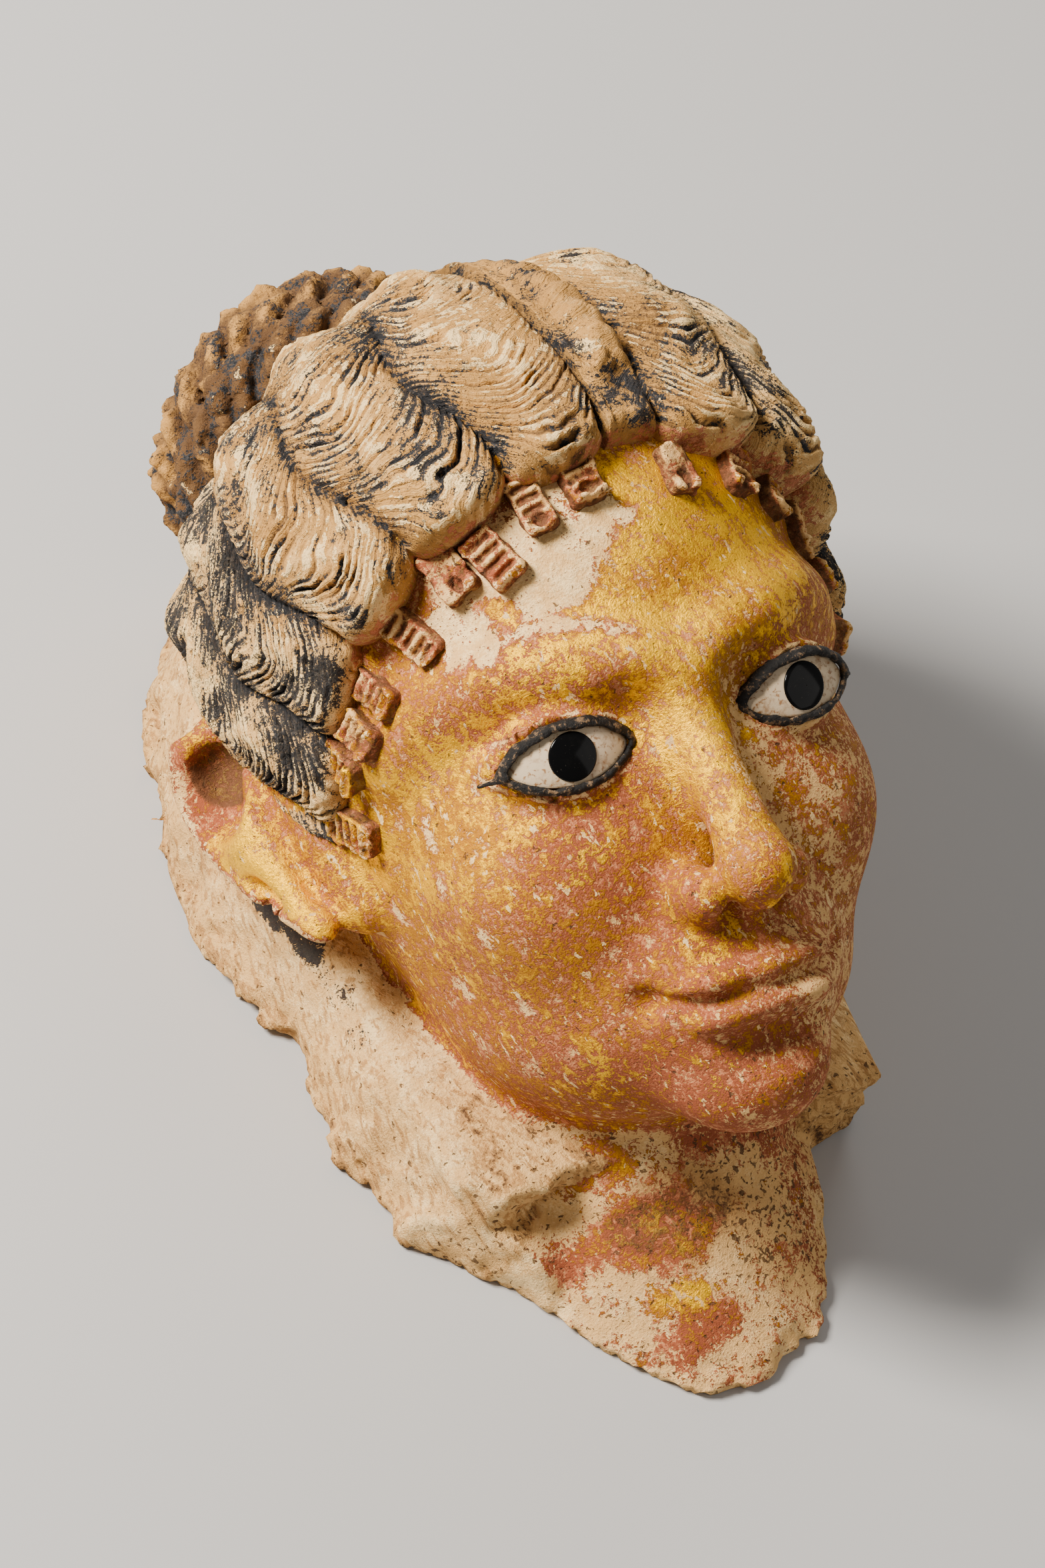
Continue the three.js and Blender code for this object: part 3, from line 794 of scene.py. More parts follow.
@dataclass
class FormMesher:
    """Wraps a form in quads on a lattice and settles them on it.

    Attributes:
        step: lattice spacing in millimetres.
        settle: how often each point is drawn onto the form.
    """

    step: float
    settle: int = 2

    def sample(self, form: Field, low: Array, count: Array) -> Array:
        """The form on the lattice, worked out only near its surface.

        Args:
            form: distance to the form.
            low: the lattice's first point.
            count: points each way, each one more than a multiple of BLOCK.

        Returns:
            The distances.
        """
        coarse = (count - 1) // BLOCK + 1
        axes = [low[k] + np.arange(coarse[k]) * self.step * BLOCK for k in range(3)]
        points = np.stack(np.meshgrid(*axes, indexing="ij"), axis=-1).reshape(-1, 3)
        rough = form(points).reshape(coarse)
        near = np.abs(rough) < self.step * BLOCK * 1.4
        cells = np.zeros(coarse - 1, dtype=bool)
        for start in CORNERS:
            end = start + cells.shape
            cells |= near[start[0] : end[0], start[1] : end[1], start[2] : end[2]]
        wanted = np.zeros(count, dtype=bool)
        fine = np.repeat(np.repeat(np.repeat(cells, BLOCK, 0), BLOCK, 1), BLOCK, 2)
        for start in CORNERS:
            end = start + fine.shape
            wanted[start[0] : end[0], start[1] : end[1], start[2] : end[2]] |= fine
        nearest = [
            np.minimum((np.arange(n) + BLOCK // 2) // BLOCK, c - 1) for n, c in zip(count, coarse)
        ]
        value = np.where(rough < 0, -9.0, 9.0)[np.ix_(*nearest)]
        i = np.argwhere(wanted)
        value[wanted] = form(low + i * self.step)
        return value

    def wrap(self, form: Field, low: tuple, high: tuple) -> tuple[Array, Array]:
        """Quads round the form between two corners.

        Args:
            form: distance to the form.
            low: lowest corner.
            high: highest corner.

        Returns:
            Points, and four corners for each face.
        """
        start = np.array(low, dtype=float)
        count = (np.ceil((np.array(high) - start) / self.step / BLOCK).astype(int) * BLOCK) + 1
        value = self.sample(form, start, count)
        inside = value < 0
        n = count - 1
        hits = np.zeros(n, dtype=int)
        for c in CORNERS:
            hits += inside[c[0] : n[0] + c[0], c[1] : n[1] + c[1], c[2] : n[2] + c[2]]
        active = np.argwhere((hits > 0) & (hits < 8))
        index = np.full(n, -1, dtype=int)
        index[tuple(active.T)] = np.arange(len(active))
        at = [value[tuple((active + c).T)] for c in CORNERS]
        total, weight = np.zeros((len(active), 3)), np.zeros(len(active))
        for a in range(8):
            for bit in (1, 2, 4):
                if a & bit:
                    continue
                b = a | bit
                crossed = (at[a] < 0) != (at[b] < 0)
                t = np.where(crossed, at[a] / np.where(crossed, at[a] - at[b], 1.0), 0.0)
                spot = CORNERS[a] + t[:, None] * (CORNERS[b] - CORNERS[a])
                total += np.where(crossed[:, None], spot, 0.0)
                weight += crossed
        points = start + (active + total / weight[:, None]) * self.step
        faces = []
        for axis in range(3):
            u, v = (axis + 1) % 3, (axis + 2) % 3
            head = [slice(None)] * 3
            tail = [slice(None)] * 3
            head[axis], tail[axis] = slice(1, None), slice(None, -1)
            first, second = inside[tuple(tail)], inside[tuple(head)]
            spots = np.argwhere(first != second)
            at_u, at_v = spots[:, u], spots[:, v]
            spots = spots[(at_u > 0) & (at_v > 0) & (at_u < n[u]) & (at_v < n[v])]
            out = first[tuple(spots.T)]
            ring = []
            for du, dv in ((-1, -1), (0, -1), (0, 0), (-1, 0)):
                cell = spots.copy()
                cell[:, u] += du
                cell[:, v] += dv
                ring.append(index[tuple(cell.T)])
            quad = np.stack(ring, axis=1)
            quad[~out] = quad[~out][:, ::-1]
            faces.append(quad)
        return self.drawn(form, points), np.concatenate(faces)

    def drawn(self, form: Field, points: Array) -> Array:
        """The points moved onto the form along its slope.

        Args:
            form: distance to the form.
            points: the points.

        Returns:
            The moved points.
        """
        p = points.copy()
        e = self.step * 0.05
        for _ in range(self.settle):
            here = form(p)
            slope = np.stack([(form(p + e * d) - here) / e for d in np.eye(3)], axis=1)
            reach = -here / np.maximum((slope * slope).sum(1), 0.2)
            p += slope * np.clip(reach, -self.step * 0.7, self.step * 0.7)[:, None]
        return p


def mark_zones(mesh: Mesh, zones: dict) -> None:
    """Writes the zones' values as attributes of the mesh's points.

    Args:
        mesh: the mesh.
        zones: a value or an array for each zone, 0 where there is none.
    """
    for zone in Zone:
        values = zones.get(zone, 0.0) * np.ones(len(mesh.vertices))
        spot = mesh.attributes.get(zone.value) or mesh.attributes.new(zone.value, "FLOAT", "POINT")
        spot.data.foreach_set("value", values.astype(np.float32))


def mesh_points(mesh: Mesh) -> Array:
    """The mesh's points in millimetres.

    Args:
        mesh: the mesh.

    Returns:
        One row for each point.
    """
    flat = np.empty(len(mesh.vertices) * 3, dtype=np.float32)
    mesh.vertices.foreach_get("co", flat)
    return flat.reshape(-1, 3).astype(float) / MM


def pick(piece: Object) -> None:
    """Selects one object alone and makes it active.

    Args:
        piece: the object.
    """
    bpy.ops.object.select_all(action="DESELECT")
    bpy.context.view_layer.objects.active = piece
    piece.select_set(True)


@dataclass
class Piece:
    """A finished object from points and faces, in the part's frame in millimetres."""

    name: str
    points: Array
    faces: Array
    zones: dict = field(default_factory=dict)
    uv: Optional[Array] = None

    def build(self) -> Object:
        """Makes the object, its attributes and its UV map.

        Returns:
            The object at the origin, its place in its mesh.
        """
        mesh = bpy.data.meshes.new(self.name)
        n, m = len(self.points), len(self.faces)
        mesh.vertices.add(n)
        mesh.vertices.foreach_set("co", (self.points * MM).astype(np.float32).ravel())
        mesh.loops.add(m * 4)
        mesh.loops.foreach_set("vertex_index", self.faces.astype(np.int32).ravel())
        mesh.polygons.add(m)
        mesh.polygons.foreach_set("loop_start", np.arange(0, m * 4, 4, dtype=np.int32))
        mesh.update(calc_edges=True)
        mesh.validate()
        mesh.polygons.foreach_set("use_smooth", np.ones(len(mesh.polygons), dtype=bool))
        mark_zones(mesh, self.zones)
        if self.uv is not None:
            layer = mesh.uv_layers.new(name="run")
            corner = np.empty(len(mesh.loops), dtype=np.int32)
            mesh.loops.foreach_get("vertex_index", corner)
            layer.data.foreach_set("uv", self.uv[corner].astype(np.float32).ravel())
        made = bpy.data.objects.new(self.name, mesh)
        bpy.context.scene.collection.objects.link(made)
        return made


def finish_piece(piece: Object, nodes: tuple, look: Material) -> None:
    """Ties a piece to the frame and gives it its material.

    Args:
        piece: the piece.
        nodes: CAD nodes that it stands for.
        look: its material.
    """
    piece.data.materials.clear()
    piece.data.materials.append(look)
    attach(piece, "root")
    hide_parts(*nodes)


# ---- plaster pieces


LOSSES = (((-28, -72, 45), (23, 26, 13)), ((-13, -78, 54), (11, 16, 8)), ((-44, -66, 33), (11, 16, 9)))
BROW_CHIPS = ((-41, -73.5, 27), (-31, -80, 30), (-21, -85, 28), (-10, -89, 23.5))
CHEEK_CHIPS = (
    ((-57.5, -52, -11), (-57.0, -53, -18), 1.0), ((-58.2, -54, -26), (-57.0, -55, -30), 1.2),
    ((-54.5, -64, -40), (-53.5, -65, -42), 1.4), ((-60.2, -30, -34), (-59.8, -31, -37), 1.4),
    ((-53.1, -41.6, -54), (-51.5, -43, -57), 1.4), ((-46.5, -59.5, -60), (-45.0, -60.5, -62), 1.4),
    ((-57.5, -46, -45), (-56.5, -47, -48), 1.0), ((-50.0, -55, -52), (-49, -56, -54), 1.1),
)


# Patches of gold and of red ground: share, start and end of the edge, middle and radii.
GILT_PATCHES = (
    (0.26, 12, -8, (6, -78, 40), (40, 30, 24)), (0.22, 10, -8, (-52, -52, -12), (22, 26, 18)),
    (0.24, 9, -4, (-6, -98, -12), (9, 20, 26)), (-0.16, 20, -4, (-24, -94, -30), (16, 22, 18)),
    (0.10, 10, -8, (-60, -28, -28), (12, 16, 16)), (-0.30, 16, -8, (34, -70, -34), (28, 40, 38)),
    (-0.22, 16, -8, (2, -84, -88), (28, 26, 18)), (-0.12, 12, -6, (14, -92, -60), (22, 20, 16)),
)
BOLE_PATCHES = (
    (-0.34, 18, -8, (32, -74, -44), (28, 36, 44)), (-0.16, 14, -6, (6, -88, -82), (20, 22, 18)),
    (-0.25, 7, -4, (9, -92, -6), (9, 14, 22)),
)
# What is left on the neck: middle, radii, gold and red ground.
NECK_PATCHES = (
    ((-15, -36, -129), (17, 20, 10), 0.44, 0.92), ((-26, -34, -111), (9, 16, 9), 0.46, 0.80),
    ((-12, -40, -147), (10, 16, 3.5), 0.95, 0.80), ((-11, -40, -157), (12, 18, 6), 0.14, 0.72),
    ((6, -38, -108), (16, 16, 8), 0.05, 0.40), ((-37, -24, -134), (8, 10, 4), 0.10, 0.62),
    ((28, -30, -120), (10, 20, 40), 0.05, 0.24), ((-49, -22, -97), (6, 14, 16), 0.42, 0.60),
)


def patches(p: Array, table: tuple) -> Array:
    """Sum of soft patches.

    Args:
        p: points.
        table: share, start and end of the edge, middle and radii of each.

    Returns:
        One value for each point.
    """
    total = np.zeros(len(p))
    for share, start, end, middle, radii in table:
        total += share * ease(start, end, ball(p, middle, radii))
    return total


@dataclass
class PlasterSkin:
    """Face, ears, neck, back wall and hollow in one piece of plaster.

    Attributes:
        form: the head.
        step: size of the faces before they are refined.
        low: lowest corner of the box round the form.
        high: its highest corner.
    """

    form: HeadForm
    step: float = 3.2
    low: tuple = (-95, -170, -4)
    high: tuple = (95, 135, 184)

    def shown(self, part: Array) -> Array:
        """Where the surface is seen: not under the hair, in the hollow or on the foot's plane.

        Args:
            part: points of the part's frame.

        Returns:
            True where it is seen.
        """
        p = self.form.lay.to_head(part)
        around, back = self.form.hair.angles(p)
        covered = (self.form.hair.inside(around, back) > 5.0) & (self.form.hair.bare(p) > -4.0)
        within = np.abs(self.form.hollow(part, p)) < 2.5
        return ~covered & ~within & (part[:, 2] > 0.6)

    def detailed(self, part: Array) -> Array:
        """Where the carving is small: round the eyes, on nose and mouth, and on the ears.

        Args:
            part: points of the part's frame.

        Returns:
            True where it is small.
        """
        p = mirrored(self.form.lay.to_head(part))
        eye = self.form.eye.local(p)
        by_eye = (np.abs(eye[:, 0]) < 19) & (np.abs(eye[:, 1]) < 12) & (p[:, 1] < -60)
        by_mouth = ball(p, (0, -98, -55), (27, 26, 28)) < 0
        by_ear = ball(p, (80, 4, -15), (14, 30, 36)) < 0
        return self.shown(part) & (by_eye | by_mouth | by_ear)

    def refine(self, skin: Object, where: Field) -> None:
        """Halves the faces whose middles lie where the test says, and draws the points onto the form.

        Args:
            skin: the piece.
            where: the test.
        """
        mesh = skin.data
        middles = np.empty(len(mesh.polygons) * 3, dtype=np.float32)
        mesh.polygons.foreach_get("center", middles)
        chosen = where(middles.reshape(-1, 3).astype(float) / MM)
        pick(skin)
        bpy.ops.object.mode_set(mode="EDIT")
        bpy.ops.mesh.select_mode(type="FACE")
        bpy.ops.mesh.select_all(action="DESELECT")
        bpy.ops.object.mode_set(mode="OBJECT")
        mesh.polygons.foreach_set("select", chosen)
        bpy.ops.object.mode_set(mode="EDIT")
        bpy.ops.mesh.subdivide(number_cuts=1, ngon=False, quadcorner="INNERVERT")
        bpy.ops.object.mode_set(mode="OBJECT")
        drawn = FormMesher(self.step / 2).drawn(self.form.value, mesh_points(mesh))
        mesh.vertices.foreach_set("co", (drawn * MM).astype(np.float32).ravel())
        mesh.update()

    def gilding(self, p: Array) -> tuple[Array, Array]:
        """Gold and red ground on face and ears, before its losses.

        Args:
            p: points of the head's frame.

        Returns:
            The gold and the ground left, 0.5 where half is worn off.
        """
        gilt = 0.58 + patches(p, GILT_PATCHES) - 0.12 * ease(-40, -80, p[:, 2])
        bole = 0.98 + patches(p, BOLE_PATCHES)
        plan = self.form.ear
        ear = plan.local(mirrored(p))
        on_ear = ease(3.0, 0.5, plan.value(mirrored(p)))
        ahead = ear[:, 1] / plan.width(ear[:, 0])
        swell = ease(4, -3, plan.lump(ear, (-0.05, 1.5, 4.0), (0.42, 8.0, 8.0), 6))
        tail = ease(4, -2, plan.lump(ear, (-0.62, 3.0, 5.0), (0.4, 4.0, 6.0), 4))
        hollow = ease(2, -4, plan.lump(ear, (0.55, 2.0, 6.0), (0.38, 9.5, 9.5), 6))
        own = 0.52 + 0.36 * swell + 0.34 * tail - 0.70 * hollow
        edge = ease(0.74, 0.90, np.hypot(ear[:, 0], ahead)) * ease(0.3, -0.3, ahead)
        gilt = gilt * (1 - on_ear) + on_ear * (own - 0.7 * edge)
        bole = bole * (1 - on_ear) + on_ear * (0.98 - 0.62 * edge)
        return gilt, bole

    def losses(self, p: Array) -> Array:
        """Where the gilding has come off down to the plaster, as a share.

        Args:
            p: points of the head's frame.

        Returns:
            One value for each point, 1 where it is all gone.
        """
        ragged = (Grain(12).layered(p, 12.0, 4) - 0.5) * 17.0
        patch = np.full(len(p), 99.0)
        for centre, radii in LOSSES:
            patch = np.minimum(patch, ball(p, centre, radii))
        lost = ease(3.0, -2.4, patch + ragged)
        ring = self.form.eye.outside(self.form.eye.local(mirrored(p)), self.form.eye.rim + 0.9)
        by_rim = ease(1.4, 0.3, np.abs(ring) + (Grain(13).layered(p, 4.0) - 0.3) * 2.6)
        lost = np.maximum(lost, 0.85 * by_rim * (p[:, 1] < -60))
        brow = bead(p, list(BROW_CHIPS), 1.5) + ragged * 0.22
        lost = np.maximum(lost, 0.95 * ease(1.8, -1.0, brow))
        for start, end, radius in CHEEK_CHIPS:
            chip = rod(p, start, end, radius) + ragged * 0.07
            lost = np.maximum(lost, 0.8 * ease(1.8, -0.8, chip))
        return lost

    def neck_coat(self, p: Array, n: Array) -> tuple[Array, Array]:
        """Gold and red ground left on the neck: a brown-gold patch, a bright band and red spots.

        Args:
            p: points of the head's frame.
            n: noise from 0 to 1.

        Returns:
            The gold and the ground left.
        """
        ragged = (Grain(14).layered(p, 9.0, 4) - 0.5) * 13.0
        gilt, bole = np.full(len(p), 0.02), 0.25 + 1.0 * (n - 0.5)
        for centre, radii, gold, red in NECK_PATCHES:
            near = ease(4, -5, ball(p, centre, radii) + ragged)
            gilt += gold * near
            bole += red * near
        return gilt, bole

    def zones(self, part: Array) -> dict:
        """How much of each layer is left at each point, and where shade is painted.

        Args:
            part: points of the part's frame.

        Returns:
            A value for each zone.
        """
        form = self.form
        p = form.lay.to_head(part)
        n1, n2 = Grain(11).layered(p, 22.0), Grain(12).layered(p, 8.0)
        wall, shell, neck = form.back_wall(part), form.shell(p), form.neck(p)
        head = join(shell, neck, 12.0)
        on_wall = ease(1.6, -1.6, wall + 1.2 - head + (n2 - 0.5) * 3)
        on_neck = ease(2.5, -2.5, neck - shell + (n2 - 0.5) * 4) * (1 - on_wall)
        within = ease(3.0, 0.5, np.abs(np.maximum(form.hollow(part, p), head + form.wall)))
        foot = ease(1.6, 0.4, part[:, 2])

        gilt, bole = self.gilding(p)
        neck_gilt, neck_bole = self.neck_coat(p, n1)
        gilt = gilt * (1 - on_neck) + neck_gilt * on_neck
        bole = bole * (1 - on_neck) + neck_bole * on_neck
        lost = self.losses(p)
        gilt = gilt * (1 - lost) - 0.10 * lost
        bole = bole * (1 - lost) + 0.17 * lost
        facet = ease(1.5, 0.6, np.abs(form.fracture(part)))
        facet *= ease(3, -1, ball(part, (-52, -88, 6), (28, 26, 25)))
        behind = ease(28, 36, p[:, 1])
        plain = np.clip(on_wall + foot + within + facet + behind, 0, 1)
        gilt = gilt * (1 - plain) - 0.7 * plain
        bole = bole * (1 - plain) - 0.35 * plain

        edge = ease(16, 3, part[:, 2]) * on_wall
        corner = ease(12, 2, part[:, 1] - form.lay.centring + 108.0) * on_wall
        # Darker along the crease where the back wall meets the neck: painted shade.
        crease_shade = ease(3.2, 0.4, np.abs(wall + 1.2 - head)) * ease(-80, -100, p[:, 2])
        # Under the jaw, where the neck meets the head: painted shade, and pits.
        below = ease(5.0, 0.5, np.abs(neck - shell)) * on_neck
        # Stains and dirt, with painted shade along the crease, under the jaw and in the ear's cup.
        soil = 0.20 + 0.35 * (n1 - 0.5) + 0.45 * within + 0.30 * edge + 0.15 * corner + 0.45 * crease_shade
        spot = ball(p, (-55.5, -26, -111), (4, 4, 5)) + (n2 - 0.5) * 5
        soil += 0.22 * on_wall + 0.8 * ease(4, -2, spot)
        brown = ease(6, -6, ball(p, (-12, -37, -128), (20, 20, 11)) + (n2 - 0.5) * 10) * on_neck
        # The jaw's underside is darkened here: painted shade.
        soil += 0.10 * on_neck + 0.18 * below - 0.25 * lost - 0.45 * facet + 0.80 * brown
        off = np.maximum(np.abs(part - (-57, -52, 31)) - (2.5, 34, 3), 0)
        lip = ease(5.0, 1.0, np.linalg.norm(off, axis=1))
        soil += 0.45 * ease(5, -4, ball(p, (-50, -23, -98), (5, 12, 15))) - 0.30 * lip * on_wall
        soil += 0.26 * ease(8, -6, ball(p, (14, -38, -140), (9, 16, 14))) * on_neck
        # Dark in the ear's cup, which the helix shades: painted shade.
        cup = ball(mirrored(p), form.ear.cup, form.ear.cup_size) + (n2 - 0.5) * 4
        soil += 1.5 * ease(3.0, -0.5, cup)
        pits = 0.05 + 0.06 * on_wall + 0.16 * on_neck + 0.12 * edge + 0.30 * corner
        pits += 0.45 * ease(10, -6, ball(p, (16, -38, -128), (16, 20, 22))) * on_neck
        pits += 0.40 * below + 0.25 * ease(8, -6, ball(p, (8, -86, -84), (16, 18, 16)))
        stroke = rod(p, (-72.0, 31, -31), (-64.5, 17, -46.5), 2.2) + (n2 - 0.5) * 2.5
        grey = rod(p, (-65.0, 17, -49), (-63.8, 2.7, -69), 1.5) + (n2 - 0.5) * 4.0
        black = np.maximum(1.15 * ease(3.0, 0.0, stroke), 0.62 * ease(6.0, 0.0, grey)) - 0.40
        return {
            Zone.GILT: gilt,
            Zone.BOLE: bole,
            Zone.BLACK: black,
            Zone.SOIL: np.clip(soil, 0, 1.4),
            Zone.CREST: on_wall,
            Zone.PITS: np.clip(pits, 0, 1),
        }

    def build(self) -> Object:
        """Wraps the form, refines it where it is seen and marks its layers.

        Returns:
            The piece.
        """
        points, faces = FormMesher(self.step).wrap(self.form.value, self.low, self.high)
        skin = Piece("plaster_skin", points, faces).build()
        self.refine(skin, self.shown)
        self.refine(skin, self.detailed)
        points = mesh_points(skin.data)
        points[:, 2] = np.where(points[:, 2] < 0.4, 0.0, points[:, 2])
        skin.data.vertices.foreach_set("co", (points * MM).astype(np.float32).ravel())
        skin.data.polygons.foreach_set("use_smooth", np.ones(len(skin.data.polygons), dtype=bool))
        skin.data.update()
        mark_zones(skin.data, self.zones(points))
        return skin


@dataclass(frozen=True)
class Lay:
    """How the hair lies at points of the head: its height, what decides its paint, and the painted shade
    in its grooves.
    """

    height: Array
    groove: Array
    comb: Array
    seam: Array
    stump: Array
    slot: Array
    strand: Array


@dataclass
class HairRolls:
    """Rolls of waved hair on one side of the parting, from the coil to the hairline.

    Attributes:
        form: the head.
        side: the side of the parting.
        columns: faces across the rolls.
        rows: faces along them.
        pitch: millimetres from strand to strand at the hairline.
        depth: how deep the strands are cut.
        bow: how far the strands bow forward in a roll's middle.
        rear: degrees from the coil's axis where the rolls begin.
        half_roll: half the width of a roll, in millimetres.
        wave: length and height of the waves along a roll.
        comb: half width and height of the crest that winds along a roll.
        hole: depth of the drilled holes at the hairline.
        stump: height of the broken braid in the parting.
    """

    form: HeadForm
    side: Side
    columns: int = 240
    rows: int = 396
    pitch: float = 2.75
    depth: float = 1.25
    bow: float = 9.0
    rear: float = 12.0
    half_roll: float = 16.7
    wave: tuple = (37.0, 1.25)
    comb: tuple = (3.4, 0.8)
    hole: float = 6.0
    stump: float = 4.4

    @property
    def span(self) -> tuple[float, float]:
        """Degrees round from the parting that this side covers."""
        return (-107.0, 1.0) if self.side is Side.RIGHT else (1.0, 107.0)

    def relief(self, around: Array, back: Array) -> Lay:
        """The hair's surface over the skull.

        Args:
            around: degrees round.
            back: degrees back.

        Returns:
            Height above the bare skull and the values that decide the paint.
        """
        plan = self.form.hair
        number, w, strip = plan.across(around, back)
        inside = plan.inside(around, back)
        hair = np.where(strip, 0.0, 1.0)
        spots = np.stack([around * plan.arc, back * plan.arc, 40.0 * (around > 1)], axis=1)
        seeds = ((41, 9.0), (42, 26.0), (43, 14.0), (44, 3.4))
        n1, n2, n3, n4 = (Grain(seed).layered(spots, size) for seed, size in seeds)
        run = (plan.hairline(around, back) - back) * plan.arc
        across = w * self.half_roll

        edge = np.clip(inside / 4.5, 0, 1)
        step = np.sqrt(np.maximum(1 - (1 - edge) ** 2, 0))
        rear = ease(25, 95, run)
        ridge = (1 - rear) * np.sqrt(np.maximum(1 - np.abs(w) ** 2.6, 0))
        ridge += rear * (0.45 + 0.38 * np.cos(np.pi * w))
        swell = plan.swell * ease(8, 35, back) * ridge * np.clip(inside / 5.0, 0, 1)
        wave = 2 * np.pi * (run + 7.0 * w) / self.wave[0] + number * 1.9
        roll = self.wave[1] * np.sin(wave) * (1 - w * w)
        line = (across - 5.5 * np.sin(2 * np.pi * run / 43.0 + number * 2.3)) / self.comb[0]
        comb = np.exp(-line * line) * (1 - w * w)

        strand = run - self.bow * w * w + 2.6 * (np.tanh(line * 0.7) - w) * (1 - w**4)
        strand += (n2 - 0.5) * 10.0 + (n1 - 0.5) * 4.2 + (n4 - 0.5) * 1.3
        strand = strand * (1 - 0.0011 * strand) / self.pitch
        index = np.floor(strand + 0.5)
        cells = np.stack([index * 7.3, around * plan.arc / 13.0, number * 11.0], axis=1)
        own = Grain(51).at(cells, 1.0)
        own = np.clip((own - 0.5) * 2.2 + 0.5, 0, 1)
        close = 1 - 2 * np.abs(strand - index)
        groove = ease(0.26, 1.0, close) ** 1.2
        slot = ease(0.66, 0.84, own) * ease(0.44, 0.56, n3) * hair
        worn = ease(0.50, 0.60, n2) * ease(48, 28, np.abs(around + 6))
        faint = ease(0.36, 0.50, n3) * 0.65 + 0.35
        reach = (0.52 + 0.48 * ease(80, 8, run)) * (1 - 0.6 * worn) * faint * hair * step
        deep = (self.depth * (0.30 + 1.45 * own) + 1.2 * slot) * reach

        height = plan.thick(around, back) * step + swell
        height += (roll + self.comb[1] * comb) * step * hair - deep * groove
        off = (1 - np.abs(w)) * self.half_roll
        seam = np.exp(-((off / 1.7) ** 2)) * ease(2, 12, inside) * hair
        height -= seam * (0.5 + 0.7 * ease(90, 20, run))
        hole = np.exp(-((off / 2.3) ** 2) - ((run - 4.5) / 2.8) ** 2) * hair
        height -= self.hole * hole

        middle = (around - 6.0 - 2.0 * (n2 - 0.5)) / (3.3 + 2.4 * (n1 - 0.5))
        end = ease(17.5, 20.5, run + (n1 - 0.5) * 14) * ease(64, 92, back) * (1 - hair)
        stump = np.maximum(1 - middle**2, 0) ** 0.7 * end
        braid = 0.8 * np.sin(run * 0.75 + np.abs(middle) * 2.2) + 2.6 * (n3 - 0.5)
        scar = np.exp(-(((run - 14.0 + (n1 - 0.5) * 12) / 4.0) ** 2) - ((around - 6.5) / 2.4) ** 2)
        scar *= 1 - hair
        sunk = (0.9 + 1.2 * ease(40, 10, run) + 2.4 * (n3 - 0.5)) * (1 - hair)
        height += stump * (self.stump + braid) - 2.8 * scar - sunk
        chip = ease(0.60, 0.74, n4) * (1 - groove) * hair
        height += (n1 - 0.5) * 1.3 + (n4 - 0.5) * 1.2 - 0.7 * chip
        # How dark a groove is painted: its black paint and grime, and painted shade that deepens with
        # the cut.
        dark = groove * reach * (0.45 + 0.8 * own)
        return Lay(height, dark, comb, np.maximum(seam, np.maximum(hole, scar)), stump, slot, strand)

    def grid(self) -> tuple[Array, Array, Array]:
        """A flat grid of points and faces to lay over the skull.

        Returns:
            Places across and along from 0 to 1, and four corners for each face.
        """
        bpy.ops.object.select_all(action="DESELECT")
        bpy.ops.mesh.primitive_grid_add(x_subdivisions=self.columns, y_subdivisions=self.rows, size=2.0)
        sheet = bpy.context.object
        flat = np.empty(len(sheet.data.vertices) * 3, dtype=np.float32)
        sheet.data.vertices.foreach_get("co", flat)
        corners = np.empty(len(sheet.data.loops), dtype=np.int32)
        sheet.data.loops.foreach_get("vertex_index", corners)
        bpy.data.objects.remove(sheet, do_unlink=True)
        u, v = (flat.reshape(-1, 3)[:, :2].T.astype(float) + 1) / 2
        return u, v, corners.reshape(-1, 4)[:, ::-1]

    def place(self, u: Array, v: Array) -> tuple[Array, Array]:
        """Degrees round and back for places on the sheet, its rows running with the strands.

        Args:
            u: places across, from 0 to 1.
            v: places along, from 0 to 1.

        Returns:
            Degrees round from the parting and degrees back from the coil's axis.
        """
        plan = self.form.hair
        first, last = self.span
        around = first + (last - first) * u
        back = self.rear + 100.0 * v
        shift = self.bow / plan.arc * ease(0.0, 0.2, v) * ease(1.0, 0.8, v)
        for _ in range(14):
            _, w, strip = plan.across(around, back)
            length = plan.hairline(around, back) + 1.6 - self.rear
            back = self.rear + length * v - np.where(strip, 1.0, w * w) * shift
        return around, back

    def zones(self, around: Array, back: Array, lay: Lay, head: Array) -> dict:
        """The paint, grime, wear and painted shade at each point.

        Args:
            around: degrees round.
            back: degrees back.
            lay: how the hair lies there.
            head: points of the head's frame.

        Returns:
            A value for each zone.
        """
        plan = self.form.hair
        inside = plan.inside(around, back)
        seeds = ((61, 30.0), (62, 9.0), (63, 17.0))
        n1, n2, n3 = (Grain(seed).layered(head, size) for seed, size in seeds)
        strip = (around > 0) & (around < plan.parting)
        crown = ease(-70, -46, around + 26 * (n1 - 0.5)) * ease(30, 14, around) * ease(14, 36, back)
        low = ease(34, 62, np.abs(around)) * (1 - 0.35 * ease(-10, 10, around))
        top = np.clip(lay.comb * 0.8 + 0.6 * (1 - lay.groove) * (n3 - 0.2), 0, 1)
        black = 0.50 + 0.22 * low + 1.3 * (n2 - 0.5) + 1.1 * (n3 - 0.5) + 0.30 * lay.seam
        black += 0.30 * lay.groove - 0.36 * top - 0.14 * crown + 0.30 * low * lay.slot
        front = ease(46, 22, (plan.front - back) * plan.arc)
        black = np.where(strip, 0.20 + 1.4 * (n2 - 0.5) + 0.36 * front + 0.5 * lay.seam, black)
        black = black * (1 - lay.stump) + lay.stump * (0.06 + 1.2 * (n2 - 0.5))
        soil = crown * (0.98 + 1.9 * (n1 - 0.5)) + (1 - crown) * (0.30 + 0.8 * (n1 - 0.5))
